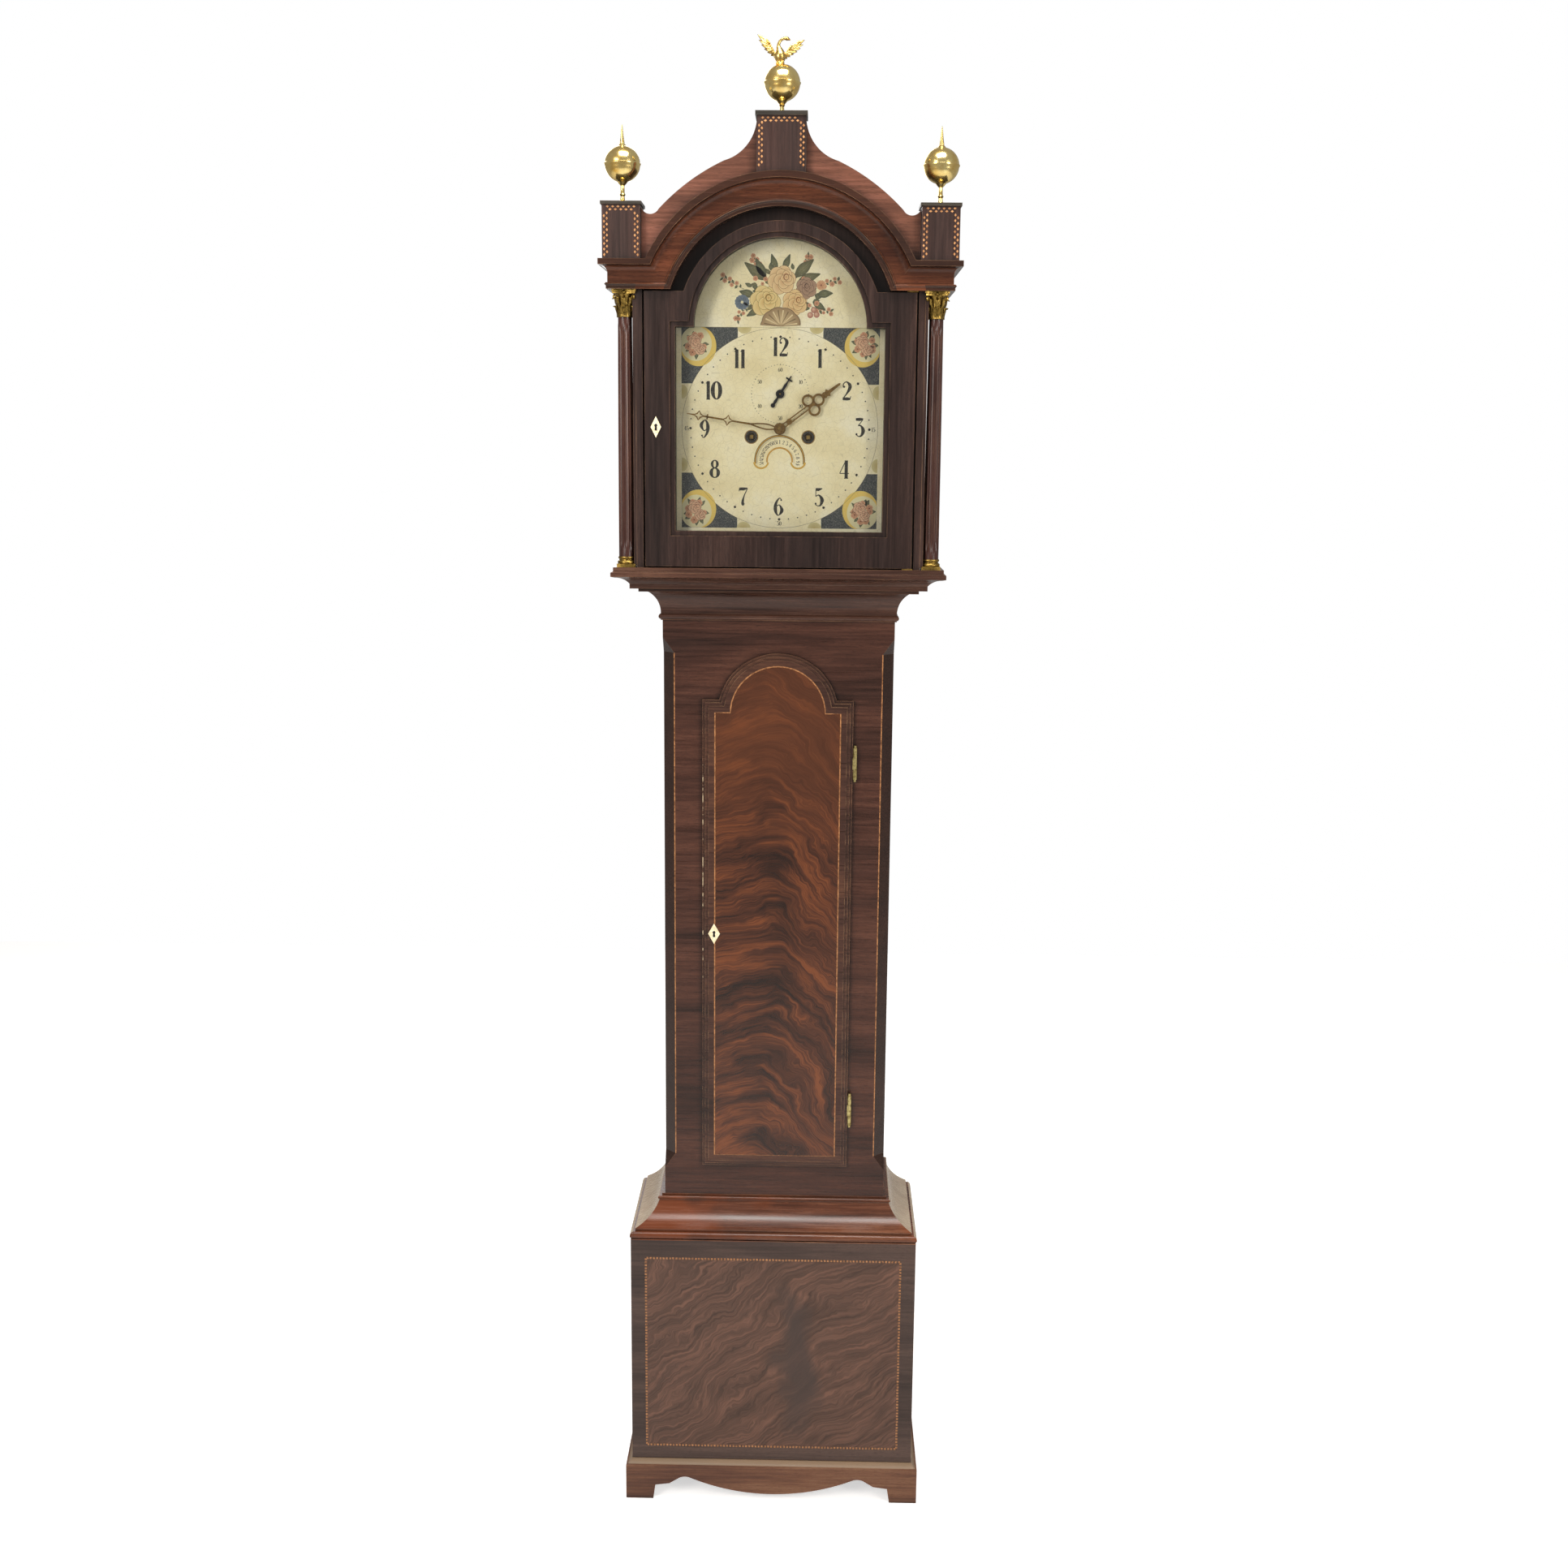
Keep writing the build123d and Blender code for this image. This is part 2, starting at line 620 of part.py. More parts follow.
with BuildPart() as hood_glass:
    with BuildSketch(front_plane(-98)):
        break_arch(glass_half + 5.8, glass_low - 5.8, arch_centre + 5.8, glass_radius + 5.8, arch_centre)
    extrude(amount=2)
keep(hood_glass, "hood_glass")

# Trunk door: a lipped leaf with a moulded edge that fills the arched doorway
with BuildPart() as trunk_door_leaf:
    with BuildSketch(front_plane(trunk_front)):
        break_arch(door_half, door_low, door_shoulder, door_radius, door_centre)
    extrude(amount=6)
    for rise, top, inset in ((6, 8.5, 4), (8.5, 10, 9)):
        with BuildSketch(front_plane(trunk_front - rise)):
            break_arch(door_half - inset, door_low + inset, door_shoulder - inset, door_radius - inset, door_centre)
        extrude(amount=top - rise)
    with BuildSketch(front_plane(trunk_front)):
        gap = lip + 0.8
        break_arch(door_half - gap, door_low + gap, door_shoulder - gap, door_radius - gap, door_centre)
    extrude(amount=-14)
    block(-104, -84, -52, -36 + 1, 905, 945, mode=Mode.SUBTRACT)
    with Locations(Location((-95, -56, 928), (90, 0, 0))):
        Cylinder(1.8, 20, mode=Mode.SUBTRACT)
keep(trunk_door_leaf, "trunk_door")


def diamond_plate(x, z, y, half_wide, half_high):
    """Add a lozenge key plate with its keyhole."""
    with BuildSketch(front_plane(y)) as lozenge:
        with BuildLine():
            Polyline((x - half_wide, z), (x, z + half_high), (x + half_wide, z), (x, z - half_high), close=True)
        make_face()
        with Locations((x, z + 1.5)):
            Circle(1.7, mode=Mode.SUBTRACT)
        with Locations((x, z - 1.5)):
            Rectangle(1.6, 6, mode=Mode.SUBTRACT)
    extrude(lozenge.sketch, amount=1.2)


with BuildPart() as hood_escutcheon:
    diamond_plate(-175.5, 1687, hood_door_front, 7.5, 15)
keep(hood_escutcheon, "hood_escutcheon")

with BuildPart() as trunk_escutcheon:
    diamond_plate(-95, 928, trunk_front - 10, 9, 16)
keep(trunk_escutcheon, "trunk_escutcheon")

# Locks let into the back of each door
with BuildPart() as hood_lock:
    block(-187.5, -162.5, -102, hood_door_back, 1668.5, 1707.5)
keep(hood_lock, "hood_lock")

with BuildPart() as trunk_lock:
    block(-103.5, -84.5, -52, -37, 905.5, 944.5)
keep(trunk_lock, "trunk_lock")

# Trunk hinges: on each, two outer knuckles and the pin stay on the frame, the middle one on the door
with BuildPart() as trunk_hinges_fixed:
    for height in trunk_hinge_heights:
        for low, high in ((height - 24, height - 9), (height + 9, height + 24)):
            post(trunk_pin_x, trunk_pin_y, low, high, 3)
            block(trunk_pin_x - 1.5, trunk_pin_x + 2.5, trunk_pin_y, trunk_front, low, high)
        post(trunk_pin_x, trunk_pin_y, height - 26.5, height + 26.5, 1.4)
        for end in (-1, 1):
            post(trunk_pin_x, trunk_pin_y, height + end * 24, height + end * 27.5, 2)
keep(trunk_hinges_fixed, "trunk_hinges_fixed")

with BuildPart() as trunk_hinges_moving:
    for height in trunk_hinge_heights:
        post(trunk_pin_x, trunk_pin_y, height - 8.7, height + 8.7, 3)
        block(door_half, trunk_pin_x, trunk_pin_y - 1.5, trunk_pin_y + 2, height - 8.7, height + 8.7)
        post(trunk_pin_x, trunk_pin_y, height - 10, height + 10, 1.46, Mode.SUBTRACT)
keep(trunk_hinges_moving, "trunk_hinges_moving")

# Dial: a sheet with a round head, bored for the arbors and winding squares, with a calendar slot
with BuildPart() as dial_plate:
    with BuildSketch(front_plane(dial_back)):
        break_arch(dial_half, hand_z - dial_half, arch_centre, dial_radius, arch_centre)
        with Locations((0, hand_z)):
            RegularPolygon(5.9, turned_facets, mode=Mode.SUBTRACT)
        with Locations((0, seconds_z)):
            RegularPolygon(1.9, small_facets, mode=Mode.SUBTRACT)
        with Locations((-winding_x, winding_z), (winding_x, winding_z)):
            RegularPolygon(6.1, wheel_facets, mode=Mode.SUBTRACT)
        with BuildLine():
            CenterArc((0, calendar_z), 33, 0, 180)
            CenterArc((0, calendar_z), 20, 0, 180)
            ThreePointArc((20, calendar_z), (26.5, calendar_z - 6.5), (33, calendar_z))
            ThreePointArc((-20, calendar_z), (-26.5, calendar_z - 6.5), (-33, calendar_z))
        make_face(mode=Mode.SUBTRACT)
    extrude(amount=dial_back - dial_front)
keep(dial_plate, "dial_plate")

with BuildPart() as calendar_disc:
    with BuildSketch(front_plane(dial_back + 1.4)):
        with Locations((0, calendar_z)):
            RegularPolygon(36, 31)
            RegularPolygon(facet_radius(2.6, Mode.SUBTRACT), small_facets, mode=Mode.SUBTRACT)
    extrude(amount=1)
keep(calendar_disc, "calendar_disc")

# Posts: the dial feet, the calendar stud and the four pillars that tie the movement plates
with BuildPart() as movement_posts:
    for x, z in ((-54, plate_low + 6), (54, plate_low + 6), (-48, plate_high - 6), (48, plate_high - 6)):
        rod(x, z, dial_back, front_plate[0], 3)
        rod(x, z, front_plate[1], back_plate[0], 5)
    rod(0, calendar_z, dial_back, -71, 2.5)
    rod(0, calendar_z, -72, -70.5, 4)
keep(movement_posts, "movement_posts")

# Movement plates, bored for every arbor
through_holes = [(0, hand_z, 2.6), (0, seconds_z, 1.3), (-winding_x, winding_z, 4.1), (winding_x, winding_z, 4.1),
                 (0, reverse_z, pivot_radius + pivot_play), (third_x, third_z, pivot_radius + pivot_play),
                 (0, anchor_z, pivot_radius + pivot_play), (hammer_x, hammer_z, pivot_radius + pivot_play)]
back_holes = [(0, hand_z, pivot_radius + pivot_play), (0, seconds_z, pivot_radius + pivot_play),
              (-winding_x, winding_z, 2.1), (winding_x, winding_z, 2.1),
              (third_x, third_z, pivot_radius + pivot_play), (0, anchor_z, 3),
              (hammer_x, hammer_z, pivot_radius + pivot_play)]
with BuildPart() as movement_plates:
    for (front_y, back_y), holes in ((front_plate, through_holes), (back_plate, back_holes)):
        with BuildSketch(front_plane(back_y)):
            with Locations((0, (plate_low + plate_high) / 2)):
                Rectangle(2 * plate_half, plate_high - plate_low)
            for x, z, radius in holes:
                with Locations((x, z)):
                    RegularPolygon(facet_radius(radius, Mode.SUBTRACT), small_facets, mode=Mode.SUBTRACT)
        extrude(amount=back_y - front_y)
keep(movement_plates, "movement_plates")

# Back cock: a bridge behind the back plate that holds the pendulum spring and the anchor's rear pivot
with BuildPart() as back_cock:
    for side in (-1, 1):
        block(side * 22, side * 30, back_plate[1], 66, 1768, 1782)
    block(-30, 30, 50, 66, 1768, 1782)
    block(-5, 5, 46, 50, 1760, 1782)
    rod(0, anchor_z, 45, 51, 1.56, Mode.SUBTRACT)
keep(back_cock, "back_cock")

# Bell on its stand above the plates
bell_x = 10.0
bell_y = 5.0
with BuildPart() as bell_stand:
    block(bell_x - 4, bell_x + 4, back_plate[0] - 3, back_plate[0], 1770, 1806)
    block(bell_x - 4, bell_x + 4, bell_y - 4, back_plate[0] - 3, 1800, 1806)
    post(bell_x, bell_y, 1806, 1838, 2.5)
keep(bell_stand, "bell_stand")

with BuildPart() as bell:
    turned(bell_x, bell_y, ((47, 1810), (37, 1833), (18, 1841), (5, 1841)), wheel_facets)
    turned(bell_x, bell_y, ((44, 1809), (44, 1810), (33, 1830), (6, 1838)), wheel_facets, Mode.SUBTRACT)
keep(bell, "bell")

with BuildPart() as hammer:
    rod(hammer_x, hammer_z, front_plate[0] + 0.3, back_plate[1] - 0.3, pivot_radius)
    rod(hammer_x, hammer_z, front_plate[1] + 0.2, back_plate[0] - 0.2, 1.8)
    with BuildSketch(front_plane(bell_y + 2)):
        with BuildLine():
            Polyline((hammer_x - 1, hammer_z), (hammer_x + 1, hammer_z), (68, 1790), (68, 1814), (66, 1814),
                     (66, 1791), close=True)
        make_face()
    extrude(amount=4)
    block(59.5, 73.5, bell_y - 3.5, bell_y + 3.5, 1810.5, 1817.5)
keep(hammer, "hammer")

# Going train. Each meshing pair has a tooth of one wheel opposite a space of the other.
great_to_centre = bearing(winding_x, winding_z, 0, hand_z)
centre_to_third = bearing(0, hand_z, third_x, third_z)
third_to_escape = bearing(third_x, third_z, 0, seconds_z)


def drilled_great_wheel(x, y, phase):
    """Add a great wheel, bored to ride on its barrel arbor."""
    toothed(x, winding_z, y, 2.5, 96, great_module, phase)
    crossings(x, winding_z, y, 2.5, 12, 32)
    rod(x, winding_z, y - 5, y + 5, 4.08, Mode.SUBTRACT)


with BuildPart() as going_great_wheel:
    drilled_great_wheel(winding_x, -27.5, great_to_centre)
keep(going_great_wheel, "going_great_wheel")

with BuildPart() as strike_great_wheel:
    drilled_great_wheel(-winding_x, -32, 180 - great_to_centre)
keep(strike_great_wheel, "strike_great_wheel")

with BuildPart() as centre_arbor:
    rod(0, hand_z, front_plate[1] + 0.2, back_plate[0] - 0.2, 1.7)
    rod(0, hand_z, back_plate[0] - 1, back_plate[1] - 0.3, pivot_radius)
    rod(0, hand_z, -90, front_plate[1] + 1, 2.5)
    toothed(0, hand_z, -26.5, 4.5, 8, great_module, great_to_centre + 180 + 22.5)
    toothed(0, hand_z, 23.5, 2, 60, train_module, centre_to_third)
    toothed(0, hand_z, -40.5, 1.5, 36, train_module, -90)
    crossings(0, hand_z, 23.5, 2, 7, 21)
keep(centre_arbor, "centre_arbor")

with BuildPart() as third_wheel:
    rod(third_x, third_z, front_plate[0] + 0.3, back_plate[1] - 0.3, pivot_radius)
    rod(third_x, third_z, front_plate[1] + 0.2, back_plate[0] - 0.2, 1.6)
    toothed(third_x, third_z, 24.5, 4, 8, train_module, centre_to_third + 180 + 22.5)
    toothed(third_x, third_z, 27.5, 1.5, 56, train_module, third_to_escape)
    crossings(third_x, third_z, 27.5, 1.5, 7, 19.5)
keep(third_wheel, "third_wheel")

with BuildPart() as escape_wheel:
    rod(0, seconds_z, back_plate[0] - 1, back_plate[1] - 0.3, pivot_radius)
    rod(0, seconds_z, -80.2, back_plate[0] - 0.2, 1.2)
    toothed(0, seconds_z, 29, 4, 7, train_module, third_to_escape + 180 + 180 / 7)
    with BuildSketch(front_plane(11.5)):
        with BuildLine():
            corners = []
            for tooth in range(30):
                for turn, radius in ((0, 16.4), (9.5, 16.4), (12, 20)):
                    angle = math.radians(12 * tooth + turn)
                    corners.append((radius * math.cos(angle), seconds_z + radius * math.sin(angle)))
            Polyline(*corners, close=True)
        make_face()
    extrude(amount=1.5)
    crossings(0, seconds_z, 11.5, 1.5, 5, 13)
keep(escape_wheel, "escape_wheel")

# Anchor: two pallets over the escape wheel, and the crutch that the pendulum rod passes through
with BuildPart() as anchor:
    rod(0, anchor_z, front_plate[0] + 0.3, -34, pivot_radius)
    rod(0, anchor_z, front_plate[1] + 0.2, 49.5, 1.5)
    with BuildSketch(front_plane(12)):
        with BuildLine():
            ThreePointArc((-22, 1744), (0, 1759.5), (22, 1744))
            Polyline((22, 1744), (25, 1747), (6, anchor_z + 5), (-6, anchor_z + 5), (-25, 1747), (-22, 1744))
        make_face()
    extrude(amount=2.5)
    block(-2, 2, 36, 38, 1690, anchor_z + 3)
    for side in (-1, 1):
        block(side * 5, side * 8, 36, 64, 1688, 1693)
    block(-8, 8, 36, 38, 1688, 1693)
keep(anchor, "anchor")

# Motion work: the reverse minute wheel with its pinion, and the hour wheel on its pipe
with BuildPart() as reverse_wheel:
    rod(0, reverse_z, -52, front_plate[1] - 0.3, pivot_radius)
    toothed(0, reverse_z, -40.5, 1.5, 36, train_module, 90 + 5)
    toothed(0, reverse_z, -42, 7, 6, motion_module, 90)
keep(reverse_wheel, "reverse_wheel")

with BuildPart() as hour_wheel:
    toothed(0, hand_z, -45.5, 1.5, 72, motion_module, -90 + 2.5)
    crossings(0, hand_z, -45.5, 1.5, 9, 24)
    rod(0, hand_z, -84, -44, 5)
    rod(0, hand_z, -85, -43, 3.1, Mode.SUBTRACT)
keep(hour_wheel, "hour_wheel")


# Barrels, lines, pulleys and weights, one set for the going and one for the strike

def barrel(x):
    """Add a barrel with its flanges, arbor and winding square."""
    for near, far, radius in ((-24, -22, 27), (-22, 18, barrel_radius - line_radius - 0.1), (18, 20, 27)):
        with BuildSketch(front_plane(far)) as ring:
            with Locations((x, winding_z)):
                RegularPolygon(radius, wheel_facets)
        extrude(ring.sketch, amount=far - near)
    rod(x, winding_z, front_plate[1] - 6, back_plate[0] - 0.3, 4)
    rod(x, winding_z, back_plate[0] - 1, back_plate[1] - 0.3, 2)
    block(x - 2.6, x + 2.6, -73, front_plate[1] - 5, winding_z - 2.6, winding_z + 2.6)


def line(x):
    """Add one line: down from the barrel, round the pulley and up to a knot above the seatboard."""
    falling = x - barrel_radius
    standing = x + barrel_radius
    with BuildLine() as route:
        Line((falling, line_y, winding_z), (falling, line_y, pulley_z))
        ThreePointArc((falling, line_y, pulley_z), (x, line_y, pulley_z - barrel_radius), (standing, line_y, pulley_z))
        Line((standing, line_y, pulley_z), (standing, line_y, seatboard[1] + 1))
    with BuildSketch(Plane(origin=(falling, line_y, winding_z), z_dir=(0, 0, -1))) as cord:
        RegularPolygon(line_radius, 6)
    sweep(cord.sketch, path=route.wires()[0])
    post(standing, line_y, seatboard[1], seatboard[1] + 6, 3.5)


def pulley(x):
    """Add a grooved pulley, bored for its pin."""
    for near, far, radius in ((0, 1.6, 26.5), (1.6, 5.4, 22.8), (5.4, 7, 26.5)):
        with BuildSketch(front_plane(line_y - 3.5 + far)) as ring:
            with Locations((x, pulley_z)):
                RegularPolygon(radius, wheel_facets)
        extrude(ring.sketch, amount=far - near)
    rod(x, pulley_z, line_y - 5, line_y + 5, 2.1, Mode.SUBTRACT)


def weight(x):
    """Add a cased weight with the strap and pin that its pulley turns on."""
    turned(x, line_y, ((weight_radius - 2, weight_low), (weight_radius, weight_low + 2),
                       (weight_radius, weight_high - 8), (weight_radius - 8, weight_high)), wheel_facets)
    block(x - 4, x + 4, line_y - 7, line_y + 7, weight_high, weight_high + 6)
    for end in (-1, 1):
        block(x - 4, x + 4, line_y + end * 5, line_y + end * 7, weight_high, pulley_z + 5)
    block(x - 4, x + 4, line_y - 7, line_y + 7, pulley_z + 29, pulley_z + 31)
    for end in (-1, 1):
        block(x - 4, x + 4, line_y + end * 5, line_y + end * 7, pulley_z + 5, pulley_z + 31)
    rod(x, pulley_z, line_y - 6, line_y + 6, 2)


with BuildPart() as going_barrel:
    barrel(winding_x)
keep(going_barrel, "going_barrel")

with BuildPart() as strike_barrel:
    barrel(-winding_x)
keep(strike_barrel, "strike_barrel")

with BuildPart() as going_line:
    line(winding_x)
keep(going_line, "going_line")

with BuildPart() as strike_line:
    line(-winding_x)
keep(strike_line, "strike_line")

with BuildPart() as going_pulley:
    pulley(winding_x)
keep(going_pulley, "going_pulley")

with BuildPart() as strike_pulley:
    pulley(-winding_x)
keep(strike_pulley, "strike_pulley")

with BuildPart() as going_weight:
    weight(winding_x)
keep(going_weight, "going_weight")

with BuildPart() as strike_weight:
    weight(-winding_x)
keep(strike_weight, "strike_weight")

# Pendulum: a spring strip, a steel rod, a lens-shaped bob and its rating nut
bob_z = anchor_z - pendulum_length
with BuildPart() as pendulum_rod:
    block(-4, 4, pendulum_y - 0.3, pendulum_y + 0.3, 1742, 1767.4)
    block(-5, 5, pendulum_y - 2.5, pendulum_y + 2.5, 1732, 1744)
    post(0, pendulum_y, bob_z - 75, 1733, 3)
    post(0, pendulum_y, bob_z - 72, bob_z - 62, 8)
keep(pendulum_rod, "pendulum_rod")

with BuildPart() as pendulum_bob:
    turned(0, 0, ((8, -13), (36, -9), (bob_radius, 0), (36, 9), (8, 13)), wheel_facets,
           place=Location((0, pendulum_y, bob_z), (90, 0, 0)))
    post(0, pendulum_y, bob_z - 62, bob_z + 60, 3.1, Mode.SUBTRACT)
keep(pendulum_bob, "pendulum_bob")

# Hands: pierced brass for hours and minutes, blued steel for seconds
with BuildPart() as hour_hand:
    with BuildSketch(hand_plane(-81, hour_angle, hand_z)):
        RegularPolygon(8.5, 20)
        with Locations((-2.6, 27), (2.6, 27)):
            Rectangle(1.8, 46)
        with Locations((0, 17), (0, 80)):
            RegularPolygon(4.4, 10)
        with Locations((-8, 56), (8, 56), (0, 69)):
            RegularPolygon(9, 16)
        with Locations((-8, 56), (8, 56), (0, 69)):
            RegularPolygon(5.8, 16, mode=Mode.SUBTRACT)
        with BuildLine():
            Polyline((0, 78), (6, 86), (2.4, 88), (1.6, 106), (0, 108), (-1.6, 106), (-2.4, 88), (-6, 86), close=True)
        make_face()
        RegularPolygon(facet_radius(5.05, Mode.SUBTRACT), small_facets, mode=Mode.SUBTRACT)
    extrude(amount=1)
keep(hour_hand, "hour_hand")

with BuildPart() as minute_hand:
    with BuildSketch(hand_plane(-86, minute_angle, hand_z)):
        RegularPolygon(7.5, 20)
        with Locations((0, 11)):
            RegularPolygon(4.4, 10)
        with Locations((0, 31)):
            Ellipse(6, 17)
        with Locations((0, 31)):
            Ellipse(3.8, 14.6, mode=Mode.SUBTRACT)
        with BuildLine():
            Polyline((0.9, 46), (1.1, 74), (4.6, 80), (1.1, 86), (0.9, 109), (3.4, 113.5), (1, 118), (2.8, 124),
                     (0.9, 128), (0, 135), (-0.9, 128), (-2.8, 124), (-1, 118), (-3.4, 113.5), (-0.9, 109),
                     (-1.1, 86), (-4.6, 80), (-1.1, 74), (-0.9, 46), close=True)
        make_face()
        RegularPolygon(facet_radius(2.55, Mode.SUBTRACT), small_facets, mode=Mode.SUBTRACT)
    extrude(amount=1)
    rod(0, hand_z, -89, -87, 5.5)
    rod(0, hand_z, -90, -86, 2.55, Mode.SUBTRACT)
keep(minute_hand, "minute_hand")

with BuildPart() as seconds_hand:
    with BuildSketch(hand_plane(-78.3, seconds_angle, seconds_z)):
        RegularPolygon(5.6, 16)
        with BuildLine():
            Polyline((1.2, -20), (1.2, 0), (0.8, 25), (4.6, 26.5), (0.8, 28), (0, 35), (-0.8, 28), (-4.6, 26.5),
                     (-0.8, 25), (-1.2, 0), (-1.2, -20), close=True)
        make_face()
        with Locations((0, -21.5)):
            RegularPolygon(2.6, 10)
        RegularPolygon(facet_radius(1.25, Mode.SUBTRACT), small_facets, mode=Mode.SUBTRACT)
    extrude(amount=0.7)
keep(seconds_hand, "seconds_hand")
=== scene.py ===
# %% [markdown]
# # A longcase clock, dressed in Blender
#
# The CAD model already holds every rigid piece in its place, in metres, with the floor at z = 0 and
# the front of the clock facing -Y. This lesson gives each piece its finish and adds what a joiner,
# a gilder and a dial painter would add by hand. The finials, columns, capitals, two of the hands and
# the gut lines are modelled again in finer form. Every other CAD piece keeps its place and shape.

# %% Load the frame
import math
import random

import bpy
from mathutils import Matrix, Vector


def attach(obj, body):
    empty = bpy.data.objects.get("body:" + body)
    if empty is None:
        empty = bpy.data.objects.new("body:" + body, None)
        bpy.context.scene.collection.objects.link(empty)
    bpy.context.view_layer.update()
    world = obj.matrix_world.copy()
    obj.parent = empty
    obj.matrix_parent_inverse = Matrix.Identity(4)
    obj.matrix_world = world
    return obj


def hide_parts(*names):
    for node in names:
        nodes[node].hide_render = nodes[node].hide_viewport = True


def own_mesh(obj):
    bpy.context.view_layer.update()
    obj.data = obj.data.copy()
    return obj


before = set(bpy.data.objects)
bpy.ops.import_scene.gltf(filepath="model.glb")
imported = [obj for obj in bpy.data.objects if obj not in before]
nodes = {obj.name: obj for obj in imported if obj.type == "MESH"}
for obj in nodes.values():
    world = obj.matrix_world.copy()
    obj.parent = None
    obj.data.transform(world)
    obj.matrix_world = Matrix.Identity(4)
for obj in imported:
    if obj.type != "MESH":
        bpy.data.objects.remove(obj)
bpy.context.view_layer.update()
print("CAD nodes", len(nodes))

# %% [markdown]
# ## Small tools
#
# Colours are written as the sRGB hex values that an eye or a picture program reads. Shaders want
# linear light, so one function turns them. A second one adds a node, sets it and feeds its inputs,
# with a value or with another node's output, so that every material reads as a list of steps.

# %% Colour and node helpers
def colour(hex_code):
    parts = [int(hex_code[i:i + 2], 16) / 255 for i in (1, 3, 5)]
    linear = [p / 12.92 if p <= 0.04045 else ((p + 0.055) / 1.055) ** 2.4 for p in parts]
    return (*linear, 1.0)


def add_node(tree, kind, settings=None, inputs=None, out=0, stops=()):
    """Add a node, set it, feed its inputs with values or other nodes' outputs, and give one output."""
    node = tree.nodes.new("ShaderNode" + kind)
    for key, value in (settings or {}).items():
        setattr(node, key, value)
    for key, value in (inputs or {}).items():
        if isinstance(value, bpy.types.NodeSocket):
            tree.links.new(value, node.inputs[key])
        else:
            node.inputs[key].default_value = value
    if stops:
        band = node.color_ramp.elements
        while len(band) < len(stops):
            band.new(0.5)
        for element, (position, tone) in zip(band, stops):
            element.position = position
            element.color = colour(tone) if isinstance(tone, str) else (tone, tone, tone, 1)
    return node.outputs[out] if node.outputs else None


def empty_tree(owner):
    owner.use_nodes = True
    owner.node_tree.nodes.clear()
    return owner.node_tree


def new_material(name):
    made = bpy.data.materials.new(name)
    tree = empty_tree(made)
    return made, tree, add_node(tree, "TexCoord", out="Object")


def close_material(tree, shading):
    shader = add_node(tree, "BsdfPrincipled", None, shading)
    add_node(tree, "OutputMaterial", None, {"Surface": shader})


# The kinds of sum that the finishes use, and a mix of two colours, as settings of their nodes
times, plus, minus, times_plus, below, above, most, least, size_of = [{"operation": word} for word in (
    "MULTIPLY", "ADD", "SUBTRACT", "MULTIPLY_ADD", "LESS_THAN", "GREATER_THAN", "MAXIMUM", "MINIMUM",
    "ABSOLUTE")]
tinted = {"data_type": "RGBA"}
